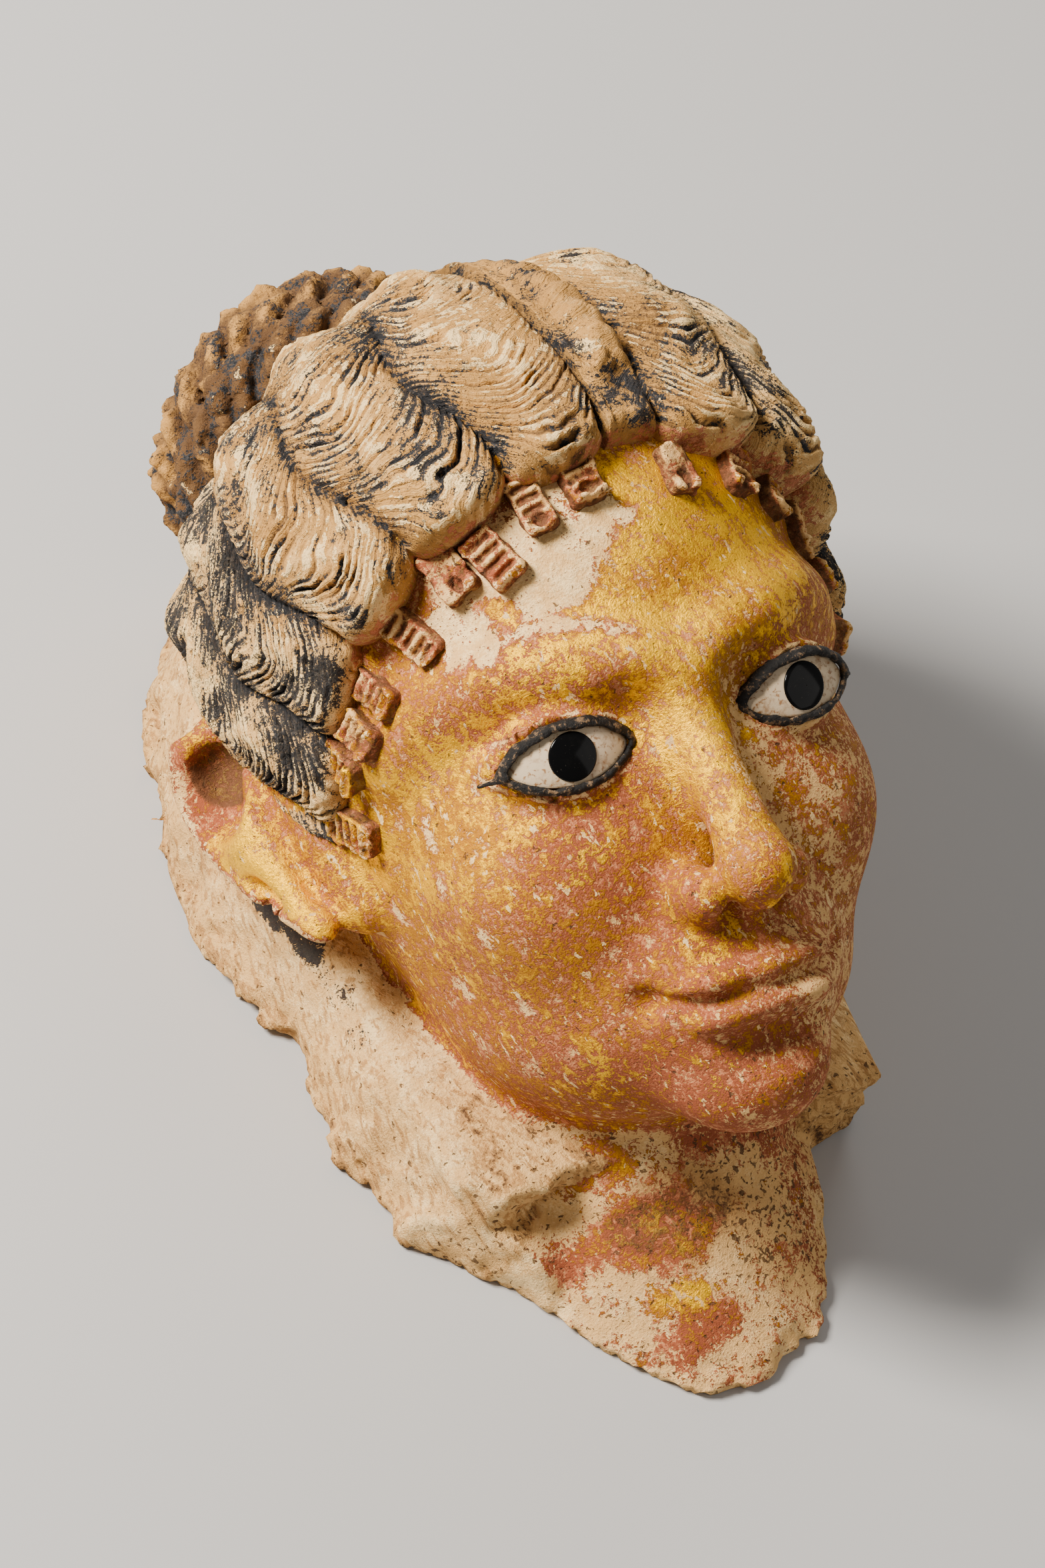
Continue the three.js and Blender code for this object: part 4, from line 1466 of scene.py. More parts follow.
        # Grooves, seams and holes are darker: grime, and painted shade in the recesses.
        soil += (0.42 + 0.5 * lay.slot) * lay.groove + 0.45 * lay.seam - 0.35 * crown * lay.comb
        soil = np.where(strip, 1.05 + 0.9 * (n2 - 0.5), soil) * (1 - lay.stump)
        soil += (0.95 + 0.8 * (n2 - 0.5)) * lay.stump
        edge = ease(4.5, 0.3, inside + (n2 - 0.5) * 5.0) * ease(80, 60, np.abs(around))
        # Low in grooves and seams, where the hair's material paints shade; high on crests, where it
        # chips the paint bare.
        crest = np.where(strip, 0.55, 1.0) - lay.groove * 1.5 - 0.5 * lay.seam + 0.3 * lay.comb
        return {
            Zone.GILT: -0.6,
            Zone.BOLE: -0.35 + 0.88 * edge,
            Zone.BLACK: black * ease(-0.5, 3.0, inside) - 0.2 * edge,
            Zone.SOIL: np.clip(soil, 0, 1.4),
            Zone.CREST: np.clip(crest, 0, 1.2),
            Zone.PITS: 0.2,
        }

    def build(self) -> Object:
        """Lays the sheet over the hair's angles and lifts it off the skull.

        Returns:
            The piece.
        """
        plan = self.form.hair
        u, v, faces = self.grid()
        around, back = self.place(u, v)
        lay = self.relief(around, back)
        ways = plan.ways(around, back)
        sunk = ease(0.6, -1.0, plan.inside(around, back)) * 5.0
        head = np.array(plan.skull) + ways * (plan.reach(ways) + lay.height - sunk)[:, None]
        uv = np.stack([around * plan.arc * 0.1, lay.strand], axis=1)
        zones = self.zones(around, back, lay, head)
        name = f"hair_rolls_{self.side.name.lower()}"
        return Piece(name, self.form.lay.to_part(head), faces, zones, uv).build()


@dataclass
class CoiledPlait:
    """Two turns of a plait wound flat against the back of the crown.

    Attributes:
        form: the head.
        radius: the coil's outer radius.
        thickness: its thickness along its axis.
        out: from the skull's middle to the coil's.
        drop: how far the coil sits below the axis.
        strands: strands in one turn.
        lump: how far each strand stands out.
        lean: turn of the plait's middle line towards the axis, in radians.
        cleft: half width of that line, in radians.
        room: half the box round the coil.
        step: size of the faces.
    """

    form: HeadForm
    radius: float = 46.5
    thickness: float = 27.0
    out: float = 90.0
    drop: float = 3.0
    strands: int = 27
    lump: float = 3.6
    lean: float = 0.35
    cleft: float = 0.24
    room: tuple = (56, 56, 56)
    step: float = 0.85

    @property
    def middle(self) -> Array:
        """The coil's middle in the head's frame."""
        plan = self.form.hair
        return np.array(plan.skull) + plan.axis * self.out - plan.forward * self.drop

    def local(self, p: Array) -> Array:
        """Points of the head's frame as across, towards the forehead and out along the axis.

        Args:
            p: points of the head's frame.

        Returns:
            Three columns, in millimetres.
        """
        plan = self.form.hair
        q = p - self.middle
        return np.stack([q[:, 0], q @ plan.forward, q @ plan.axis], axis=1)

    def turn(
        self, q: Array, ring: float, level: float, thick: float, shift: float
    ) -> tuple[Array, Array]:
        """One turn of the plait, its strands crossing in chevrons.

        Args:
            q: points in the coil's own frame.
            ring: radius of the turn's middle line.
            level: its height along the axis.
            thick: the plait's radius.
            shift: where its strands begin.

        Returns:
            The distance, and how high each point lies on its strand, from 0 to 1.
        """
        angle = np.arctan2(q[:, 0], q[:, 1])
        r = np.hypot(q[:, 0], q[:, 1]) - ring
        h = q[:, 2] - level
        leaning = np.arctan2(h, r) - self.lean
        phase = self.strands * angle / (2 * np.pi) + shift + 0.10 * np.sin(angle * 7.0 + shift * 9.0)
        beat = np.abs((phase + np.abs(leaning) * 0.75) % 1.0 - 0.5) * 2
        high = (1 - beat**1.8) * (1 - 0.75 * np.exp(-((leaning / self.cleft) ** 2)))
        return (np.hypot(r, h * 1.02) - thick + 1.3 - self.lump * high) * 0.72, high

    def shape(self, part: Array) -> tuple[Array, Array]:
        """Distance to the coil and height on the nearest strand.

        Args:
            part: points of the part's frame.

        Returns:
            The distance, and the height on the strand from 0 to 1.
        """
        q = self.local(self.form.lay.to_head(part))
        half = self.thickness / 2
        thick = half * 0.58
        d, high = self.turn(q, self.radius - thick, -half * 0.42, thick, 0.0)
        for ring, level, shift in ((thick + 1.5, 0.55, 0.5), (3 * thick, 0.75, 0.2)):
            other, above = self.turn(q, self.radius - ring, half * level, thick, shift)
            high = np.where(other < d, above, high)
            d = join(d, other, 1.2)
        core = np.hypot(q[:, 0], q[:, 1]) - (self.radius - 2 * thick)
        core = np.maximum(core, np.abs(q[:, 2]) - half * 0.8)
        d = join(d, core, 2.0)
        worn = (Grain(71).layered(part, 4.4, 4) - 0.5) * 4.6
        worn += (Grain(72).layered(part, 20.0) - 0.5) * 1.6
        return np.maximum(d + worn, -part[:, 2]), high

    def value(self, part: Array) -> Array:
        """Distance to the coil."""
        return self.shape(part)[0]

    def build(self) -> Object:
        """Wraps the coil and marks its worn paint, its earth and its painted light and shade.

        Returns:
            The piece.
        """
        middle = self.form.lay.to_part(self.middle[None])[0]
        low, high = middle - self.room, middle + (self.room[0], self.room[1] - 20, self.room[2])
        points, faces = FormMesher(self.step).wrap(self.value, tuple(low), tuple(high))
        n1, n2 = Grain(81).layered(points, 16.0), Grain(82).layered(points, 5.0)
        crest = self.shape(points)[1]
        q = self.local(self.form.lay.to_head(points))
        # The turns farther out along the axis are painted lighter, less black and less earth, as if lit.
        painted_light_outward = ease(-8, 10, q[:, 2])
        # Dark brown all over and darker in the gaps between strands: earth, and painted shade.
        zones = {
            Zone.GILT: -0.6,
            Zone.BOLE: -0.4,
            Zone.BLACK: 0.54 - 0.16 * painted_light_outward + 1.3 * (n2 - 0.5) + 0.8 * (n1 - 0.5) - 0.34 * crest,
            Zone.SOIL: np.clip(2.25 + 1.4 * (n1 - 0.5) - 0.70 * painted_light_outward - 0.50 * crest, 0, 2.4),
            Zone.CREST: 0.80 * crest - 0.08,
            Zone.PITS: 0.3,
        }
        return Piece("coiled_plait", points, faces, zones).build()


@dataclass
class ForeheadLocks:
    """Small ribbed locks along the hairline, each a ladder of ribs between rims, with a drilled end.

    Attributes:
        form: the head.
        length: length before it is varied.
        width: width before it is varied.
        rise: height over the plaster.
        root: depth in the plaster.
        ribs: ribs on each.
        step: size of the faces.
        corner: radius of the corners.
        rough: depth of the roughness.
        plain: locks without ribs.
        broken: locks with a broken end.
        short: locks that are cut short.
        places: degrees round and back of each.
    """

    form: HeadForm
    length: float = 15.5
    width: float = 8.6
    rise: float = 3.8
    root: float = 4.0
    ribs: int = 5
    step: float = 0.5
    corner: float = 1.6
    rough: float = 1.9
    plain: tuple = (3, 9)
    broken: tuple = (1, 10, 13)
    short: tuple = (0, 9)
    places: tuple = (
        (-7, 122.5), (-17, 122.5), (-28, 126), (-36, 123), (-50, 125), (-65, 125), (-74, 126),
        (-83, 124), (-99, 126), (12, 124.5), (28, 122), (41, 122), (55, 123), (68, 124),
        (84, 125), (99, 126),
    )

    def ground(self, around: float, back: float) -> Array:
        """A point of the bare head, in the part's frame.

        Args:
            around: degrees round.
            back: degrees back.

        Returns:
            The point.
        """
        plan = self.form.hair
        way = plan.ways(np.array([around]), np.array([back]))[0]
        inner, outer = 40.0, 140.0
        for _ in range(20):
            t = (inner + outer) / 2
            spot = (np.array(plan.skull) + way * t)[None]
            inner, outer = (t, outer) if self.form.bare_head(spot)[0] < 0 else (inner, t)
        return self.form.lay.to_part((np.array(plan.skull) + way * inner)[None])[0]

    def block(self, q: Array, number: int, half: float, wide: float) -> Array:
        """One lock in its own frame: along, up and across.

        Args:
            q: points.
            number: which lock.
            half: half its length.
            wide: half its width.

        Returns:
            Distance to it, below zero inside.
        """
        lift = np.full(len(q), self.rise - 0.4)
        if number not in self.plain:
            place = (q[:, 0] + half) * self.ribs / self.length
            place = place + 0.35 * (Grain(200 + number).at(q, 5.0) - 0.5)
            beat = 1 - np.abs((place % 1.0) - 0.5) * 2
            inner = ease(wide - 0.5, wide - 1.8, np.abs(q[:, 2]))
            lift = lift + (1.5 * ease(0.1, 0.9, beat) - 1.25) * inner + 0.35
        lift = lift + 0.9 * ease(half - 4.0, half - 1.5, q[:, 0])
        size = np.abs(q[:, ::2]) - (half, wide) + self.corner
        side = np.linalg.norm(np.maximum(size, 0), axis=1) - self.corner
        d = keep(side, q[:, 1] - lift, 1.0)
        d = np.maximum(d, -q[:, 1] - self.root)
        if number in self.broken or number % 3 == 0:
            d = carve(d, ball(q, (half - 3.0, self.rise + 0.4, 0.0), (2.6, 3.0, 2.0)), 0.8)
        return d + (Grain(90 + number).layered(q, 3.2) - 0.5) * self.rough

    def one(self, number: int) -> tuple[Array, Array, Array]:
        """One lock, laid on the head.

        Args:
            number: which of the places.

        Returns:
            Its points in the part's frame, its faces and its points in its own frame.
        """
        around, back = self.places[number]
        rng = np.random.default_rng(number + 5)
        half = self.length / 2 * rng.uniform(0.78, 1.12) * (0.75 if number in self.short else 1.0)
        wide = self.width / 2 * rng.uniform(0.85, 1.12)
        here = self.ground(around, back)
        down = unit(self.ground(around, back + 2) - self.ground(around, back - 2))
        over = unit(self.ground(around + 2, back) - self.ground(around - 2, back))
        out = unit(np.cross(over, down))
        core = self.form.lay.to_part(np.array([[0.0, 5.0, 5.0]]))[0]
        if out @ (here - core) < 0:
            out = -out
        lean = math.radians(rng.uniform(-10, 10))
        x = unit(down * math.cos(lean) + over * math.sin(lean))
        z = unit(np.cross(x, out))
        turn = np.stack([x, np.cross(z, x), z])
        box = (half + 1.5, self.rise + 3.5, wide + 1.5)
        points, faces = FormMesher(self.step).wrap(
            lambda q: self.block(q, number, half, wide), (-box[0], -self.root - 1.5, -box[2]), box
        )
        return here + points @ turn, faces, points

    def build(self) -> Object:
        """All the locks as one piece.

        Returns:
            The piece.
        """
        points, faces, own, count = [], [], [], 0
        for number in range(len(self.places)):
            p, f, q = self.one(number)
            points.append(p)
            faces.append(f + count)
            own.append(q)
            count += len(p)
        all_points, local = np.concatenate(points), np.concatenate(own)
        p = self.form.lay.to_head(all_points)
        n1, n2 = Grain(95).layered(p, 9.0), Grain(96).layered(p, 4.0)
        low = ease(34, 6, p[:, 2])
        # Low on each lock, between its ribs and round its foot: red-brown dirt, and painted shade.
        deep = ease(self.rise + 0.4, self.rise - 1.2, local[:, 1])
        zones = {
            Zone.GILT: 0.22 + 0.46 * low + 0.9 * (n1 - 0.5) - 0.20 * deep,
            Zone.BOLE: 0.40 + 0.24 * low + 1.1 * (n2 - 0.5) + 0.30 * deep,
            Zone.BLACK: -0.5,
            Zone.SOIL: 0.25 + 0.95 * deep + 0.5 * (n1 - 0.5),
            Zone.CREST: 0.0,
            Zone.PITS: 0.35,
        }
        return Piece("forehead_locks", all_points, np.concatenate(faces), zones).build()


# ---- eyes


@dataclass
class InlaidEye:
    """A lead rim, a white and a black iris of one eye.

    Attributes:
        form: the head.
        side: which eye.
        steps: corners round the white and the iris.
        step: size of the rim's faces.
        strips: first and last angle, radius and level of the rim's upper and lower strip.
        tail: length of the rim's tail.
    """

    form: HeadForm
    side: Side
    steps: int = 96
    step: float = 0.42
    strips: tuple = ((-12, 192, 1.25, 0.95), (172, 368, 1.0, 0.5))
    tail: float = 5.0

    def laid(self, name: str, points: Array, faces: Array) -> Object:
        """Lays a piece over this eye, turned over on the mask's right.

        Args:
            name: the piece's name, less its side.
            points: points in the eye's own frame.
            faces: four corners for each face.

        Returns:
            The object.
        """
        if self.side is Side.RIGHT:
            faces = faces[:, ::-1]
        place = self.form.lay.to_part(self.form.eye.world(points, self.side))
        return Piece(f"{name}_{self.side.name.lower()}", place, faces).build()

    def rim_form(self, q: Array) -> Array:
        """Two hammered strips that cross at the corners, with a tail at the outer one.

        Args:
            q: points in the eye's own frame.

        Returns:
            One distance for each point.
        """
        eye = self.form.eye
        seed = 5 if self.side is Side.LEFT else 6
        d = np.full(len(q), 1e3)
        for first, last, radius, level in self.strips:
            angles = np.radians(np.linspace(first, last, 40))
            line = eye.almond(angles, 1.0)
            for a, b in zip(line[:-1], line[1:]):
                d = np.minimum(d, rod(q, (*a, level), (*b, level), radius))
        root = eye.length / 2 + 1.2
        d = join(d, rod(q, (root, -0.8, 0.6), (root + self.tail, -1.9, 0.5), 0.95, 0.6), 1.2)
        return d * 0.9 + (Grain(seed).layered(q, 3.0) - 0.5) * 1.3

    def build_rim(self) -> Object:
        """Wraps the rim in the eye's own frame and lays it round the inlay."""
        points, faces = FormMesher(self.step).wrap(self.rim_form, (-21, -11, -3), (25, 12, 5))
        return self.laid("lead_rim", points, faces[:, ::-1])

    def dish(self, name: str, outline: Array, levels: list) -> Object:
        """A domed plate: rings from the middle out, each at a share and a level.

        Args:
            name: the piece's name, less its side.
            outline: its edge, across and up.
            levels: share of the outline and height over the dome, for each ring.

        Returns:
            The object.
        """
        count = len(outline)
        middle = outline.mean(0)
        rings = [
            np.column_stack([middle + (outline - middle) * s, np.full(count, h)]) for s, h in levels
        ]
        k = np.arange(count)
        n = (k + 1) % count
        faces = [
            np.stack([i * count + k, (i + 1) * count + k, (i + 1) * count + n, i * count + n], axis=1)
            for i in range(len(levels) - 1)
        ]
        return self.laid(name, np.concatenate(rings), np.concatenate(faces))

    def build_white(self) -> Object:
        """The white inlay, open behind the iris.

        Returns:
            The object.
        """
        angles = 2 * np.pi * np.arange(self.steps) / self.steps
        shares = [(s, 0.0) for s in np.linspace(0.02, 0.97, 14)]
        levels = [(0.02, -4.0), *shares, (0.995, -0.2), (1.0, -0.6), (1.0, -4.4), (0.02, -4.4)]
        return self.dish("inlay", self.form.eye.almond(angles, 0.2), levels)

    def build_iris(self) -> Object:
        """The black disc, slightly proud of the white, with a rounded edge.

        Returns:
            The object.
        """
        eye = self.form.eye
        angles = 2 * np.pi * np.arange(self.steps) / self.steps
        edge = np.stack([np.cos(angles), np.sin(angles)], axis=1) * (eye.iris + 0.15)
        edge[:, 1] += eye.iris_up
        shares = [(s, 0.45) for s in np.linspace(0.02, 0.94, 10)]
        levels = [*shares, (0.975, 0.4), (0.993, 0.25), (1.0, 0.0), (1.0, -1.8), (0.02, -1.8)]
        return self.dish("iris_disc", edge, levels)


# ---- shader maths

Value = Union["Sock", float, tuple]


class Sock:
    """A shader socket that takes part in Python arithmetic."""

    def __init__(self, tree: "ShaderTree", socket: bpy.types.NodeSocket) -> None:
        """Wraps a socket of a tree."""
        self.tree = tree
        self.socket = socket

    def __add__(self, other: Value) -> "Sock":
        """Sum."""
        return self.tree.maths("ADD", self, other)

    def __radd__(self, other: Value) -> "Sock":
        """Sum."""
        return self.tree.maths("ADD", other, self)

    def __sub__(self, other: Value) -> "Sock":
        """Difference."""
        return self.tree.maths("SUBTRACT", self, other)

    def __rsub__(self, other: Value) -> "Sock":
        """Difference."""
        return self.tree.maths("SUBTRACT", other, self)

    def __mul__(self, other: Value) -> "Sock":
        """Product."""
        return self.tree.maths("MULTIPLY", self, other)

    def __rmul__(self, other: Value) -> "Sock":
        """Product."""
        return self.tree.maths("MULTIPLY", other, self)


class ShaderTree:
    """The node tree of one material."""

    def __init__(self, name: str) -> None:
        """Starts a material with a bare shader.

        Args:
            name: the material's name.
        """
        self.material = bpy.data.materials.new(name)
        self.material.use_nodes = True
        self.tree = self.material.node_tree
        self.tree.nodes.clear()
        self.shader = self.tree.nodes.new("ShaderNodeBsdfPrincipled")
        out = self.tree.nodes.new("ShaderNodeOutputMaterial")
        self.tree.links.new(self.shader.outputs[0], out.inputs["Surface"])
        self.place = self.node("ShaderNodeTexCoord", {}, {}, "Object")

    def feed(self, socket: bpy.types.NodeSocket, value: Value) -> None:
        """Links a socket or sets its value.

        Args:
            socket: the socket.
            value: a value or what is linked.
        """
        if isinstance(value, Sock):
            self.tree.links.new(value.socket, socket)
        else:
            socket.default_value = value

    def dressed(self, values: dict) -> Material:
        """Feeds the shader's sockets.

        Args:
            values: values or links, by the socket's name.

        Returns:
            The finished material.
        """
        for name, value in values.items():
            self.feed(self.shader.inputs[name], value)
        return self.material

    def node(self, kind: str, settings: dict, values: dict, out: Union[int, str] = 0) -> Sock:
        """Any node.

        Args:
            kind: its type.
            settings: properties that are set first.
            values: values or links of its sockets, by name or number.
            out: the output that is wanted.

        Returns:
            That output.
        """
        made = self.tree.nodes.new(kind)
        for key, setting in settings.items():
            setattr(made, key, setting)
        for key, value in values.items():
            self.feed(made.inputs[key], value)
        return Sock(self, made.outputs[out])

    def maths(self, operation: str, a: Value, b: Value = 0.0) -> Sock:
        """A Math node."""
        return self.node("ShaderNodeMath", {"operation": operation}, {0: a, 1: b})

    def attribute(self, zone: Zone) -> Sock:
        """A surface attribute."""
        return self.node("ShaderNodeAttribute", {"attribute_name": zone.value}, {}, "Fac")

    def noise(
        self, size: float, detail: float = 4.0, rough: float = 0.6, warp: float = 0.0, turn: float = 0.0,
        stretch: tuple = (1.0, 1.0, 1.0), run: Optional[tuple] = None,
    ) -> Sock:
        """Noise with lumps of about size millimetres.

        Args:
            size: in millimetres.
            detail: layers.
            rough: strength of the finer layers.
            warp: distortion.
            turn: shifts the pattern so that two noises differ.
            stretch: how much longer the lumps are along each axis.
            run: the way that the first axis runs, X when there is none.

        Returns:
            A value from 0 to 1.
        """
        lie = Vector(run).to_track_quat("X", "Z").to_euler() if run else (0.0, 0.0, 0.0)
        values = {
            "Vector": self.place,
            "Location": (turn * 0.013, turn * 0.007, -turn * 0.011),
            "Rotation": tuple(lie),
            "Scale": tuple(s * size * MM for s in stretch),
        }
        moved = self.node("ShaderNodeMapping", {"vector_type": "TEXTURE"}, values)
        return self.node(
            "ShaderNodeTexNoise",
            {"noise_dimensions": "3D"},
            {"Vector": moved, "Scale": 1.0, "Detail": detail, "Roughness": rough, "Distortion": warp},
        )

    def run_noise(self, scale: tuple) -> Sock:
        """Noise that follows the strands, on the piece's own map.

        Args:
            scale: lumps to a unit of the map along and across the strands.

        Returns:
            A value from 0 to 1.
        """
        run = self.node("ShaderNodeUVMap", {"uv_map": "run"}, {})
        values = {"Vector": run, "Scale": (*scale, 1.0)}
        moved = self.node("ShaderNodeMapping", {"vector_type": "POINT"}, values)
        return self.node(
            "ShaderNodeTexNoise",
            {"noise_dimensions": "2D"},
            {"Vector": moved, "Scale": 1.0, "Detail": 3.0, "Roughness": 0.65},
        )

    def ramp(self, value: Value, low: float, high: float) -> Sock:
        """A smooth step from 0 at low to 1 at high.

        Args:
            value: what is ramped.
            low: where it begins.
            high: where it ends.

        Returns:
            A value from 0 to 1.
        """
        return self.node(
            "ShaderNodeMapRange",
            {"interpolation_type": "SMOOTHSTEP"},
            {"Value": value, "From Min": low, "From Max": high, "To Min": 0.0, "To Max": 1.0},
        )

    def blend(self, share: Value, a: Value, b: Value) -> Sock:
        """Two colours mixed.

        Args:
            share: how much of the second.
            a: first colour.
            b: second colour.

        Returns:
            The colour.
        """
        first, second = ((*c, 1.0) if isinstance(c, tuple) else c for c in (a, b))
        settings = {"data_type": "RGBA", "blend_type": "MIX", "clamp_factor": True}
        return self.node("ShaderNodeMix", settings, {0: share, 6: first, 7: second}, 2)

    def bump(self, height: Value, depth: float, strength: float = 1.0) -> Sock:
        """A Bump node for a height that runs to depth millimetres.

        Args:
            height: the height, about 0 to 1.
            depth: how deep 1 is, in millimetres.
            strength: its share.

        Returns:
            The normal.
        """
        values = {"Strength": strength, "Distance": depth * MM, "Height": height}
        return self.node("ShaderNodeBump", {}, values, "Normal")


@dataclass(frozen=True)
class PlasterFinish:
    """Cream plaster with red ground and gold leaf, each worn where its zone says; the gold's brightness
    is partly painted sheen and its umber partly painted shade.
    """

    cream: tuple = (0.70, 0.41, 0.150)
    pale: tuple = (0.90, 0.62, 0.285)
    ochre: tuple = (0.42, 0.205, 0.062)
    umber: tuple = (0.095, 0.044, 0.019)
    bole: tuple = (0.29, 0.072, 0.028)
    pink: tuple = (0.53, 0.19, 0.080)
    gold: tuple = (1.0, 0.54, 0.0)
    mustard: tuple = (0.42, 0.165, 0.003)
    black: tuple = (0.018, 0.020, 0.024)
    jaw: tuple = (0.37, -0.69, -0.62)

    def material(self) -> Material:
        """Builds the layered material.

        Returns:
            The material.
        """
        t = ShaderTree("aged_plaster")
        gilt, bole_left, black_left, soil, wall, pits_left = (t.attribute(zone) for zone in Zone)
        blotch = t.noise(24.0, 2.0, 0.6)
        patch = t.noise(6.5, 5.0, 0.68, 0.5, 3.1)
        flake = t.noise(1.9, 4.0, 0.72, 0.6, 7.7)
        fine = t.noise(0.6, 3.0, 0.65, 0.0, 11.3)
        streak = t.noise(2.4, 4.0, 0.68, 0.3, 23.3, (3.6, 1.0, 1.0), self.jaw)
        brush = t.noise(2.0, 5.0, 0.72, 0.4, 29.9, (14.0, 1.0, 1.0), self.jaw)
        chips = t.noise(2.2, 3.0, 0.55, 0.4, 41.7, (2.4, 1.0, 1.0), self.jaw)

        light = t.ramp(patch + (fine - 0.5) * 0.6 - soil * 0.2, 0.36, 0.60)
        ground = t.blend(light, self.cream, self.pale)
        # Ochre, then umber, where the attribute is high: stains and dirt, and painted shade where it was
        # raised for shade.
        stain = soil + (patch - 0.5) * 1.6 + (fine - 0.5) * 0.8
        stained = t.ramp(stain + (brush - 0.5) * 7.0 * wall, 0.28, 1.10) * 0.85
        ground = t.blend(stained, ground, self.ochre)
        stain = stain + (brush - 0.5) * 3.0 * wall + (flake - 0.5)
        ground = t.blend(t.ramp(stain, 0.90, 1.5), ground, self.umber)

        wear = (patch - 0.5) * 2.1 + (flake - 0.5) * 2.3 + (fine - 0.5) * 1.5
        chipped = t.ramp(chips + (flake - 0.5) * 0.35, 0.645, 0.665) * 0.9
        red = bole_left + wear * 0.9 + (blotch - 0.5) * 0.6 - chipped * 1.4
        red_on = t.ramp(red, 0.50, 0.56)
        tone = t.ramp(red + (streak - 0.5) * 1.8 + (flake - 0.5) * 0.8, 0.46, 0.84)
        colour = t.blend(red_on, ground, t.blend(tone, self.pink, self.bole))

        leaf = gilt + wear + (streak - 0.5) * 1.1
        gold_on = t.ramp(leaf, 0.50, 0.535) * red_on
        # Bright against mustard gold: the leaf's own tone, thick or thin over the red, and partly
        # painted sheen.
        shine = gilt + (leaf - gilt) * 0.55 + (blotch - 0.5) * 1.3 + (streak - 0.5) * 0.8
        bright = t.ramp(shine, 0.56, 1.02)
        colour = t.blend(gold_on, colour, t.blend(bright, self.mustard, self.gold))

        paint = black_left + wear * 0.8 + (brush - 0.5) * 0.9 * wall
        black_on = t.ramp(paint, 0.40, 0.50)
        colour = t.blend(black_on * 0.96, colour, self.black)

        pitted = t.noise(1.6, 2.5, 0.5, 0.5, 53.1) + pits_left * 0.17 + (fine - 0.5) * 0.12
        hole = t.ramp(pitted, 0.695, 0.73)
        grime = t.ramp(blotch + (fine - 0.5) * 0.9 + (flake - 0.5) * 0.9, 0.60, 0.85) * 0.35
        # Umber where the attribute is high: dirt, and painted shade in the crease, under the jaw and in
        # the ear's cup.
        dirt_and_shade = t.ramp(soil + (flake - 0.5) * 1.4, 0.80, 1.35) * 0.84
        colour = t.blend(grime, colour, self.umber)
        colour = t.blend(dirt_and_shade, colour, self.umber)
        colour = t.blend(hole * 0.85, colour, self.umber)
        relief = gold_on * 0.18 + red_on * 0.30 + black_on * 0.08
        relief = relief + fine * 0.40 + flake * 0.60 + patch * 0.40 + brush * 0.9 * wall
        return t.dressed({
            "Base Color": colour,
            "Metallic": gold_on * (0.30 + 0.50 * bright) * (1.0 - dirt_and_shade),
            "Specular IOR Level": 0.2,
            "Roughness": 0.90 - gold_on * (0.30 + 0.14 * bright) + (fine - 0.5) * 0.3,
            "Normal": t.bump(relief - hole * 1.3, 1.0, 0.9),
        })


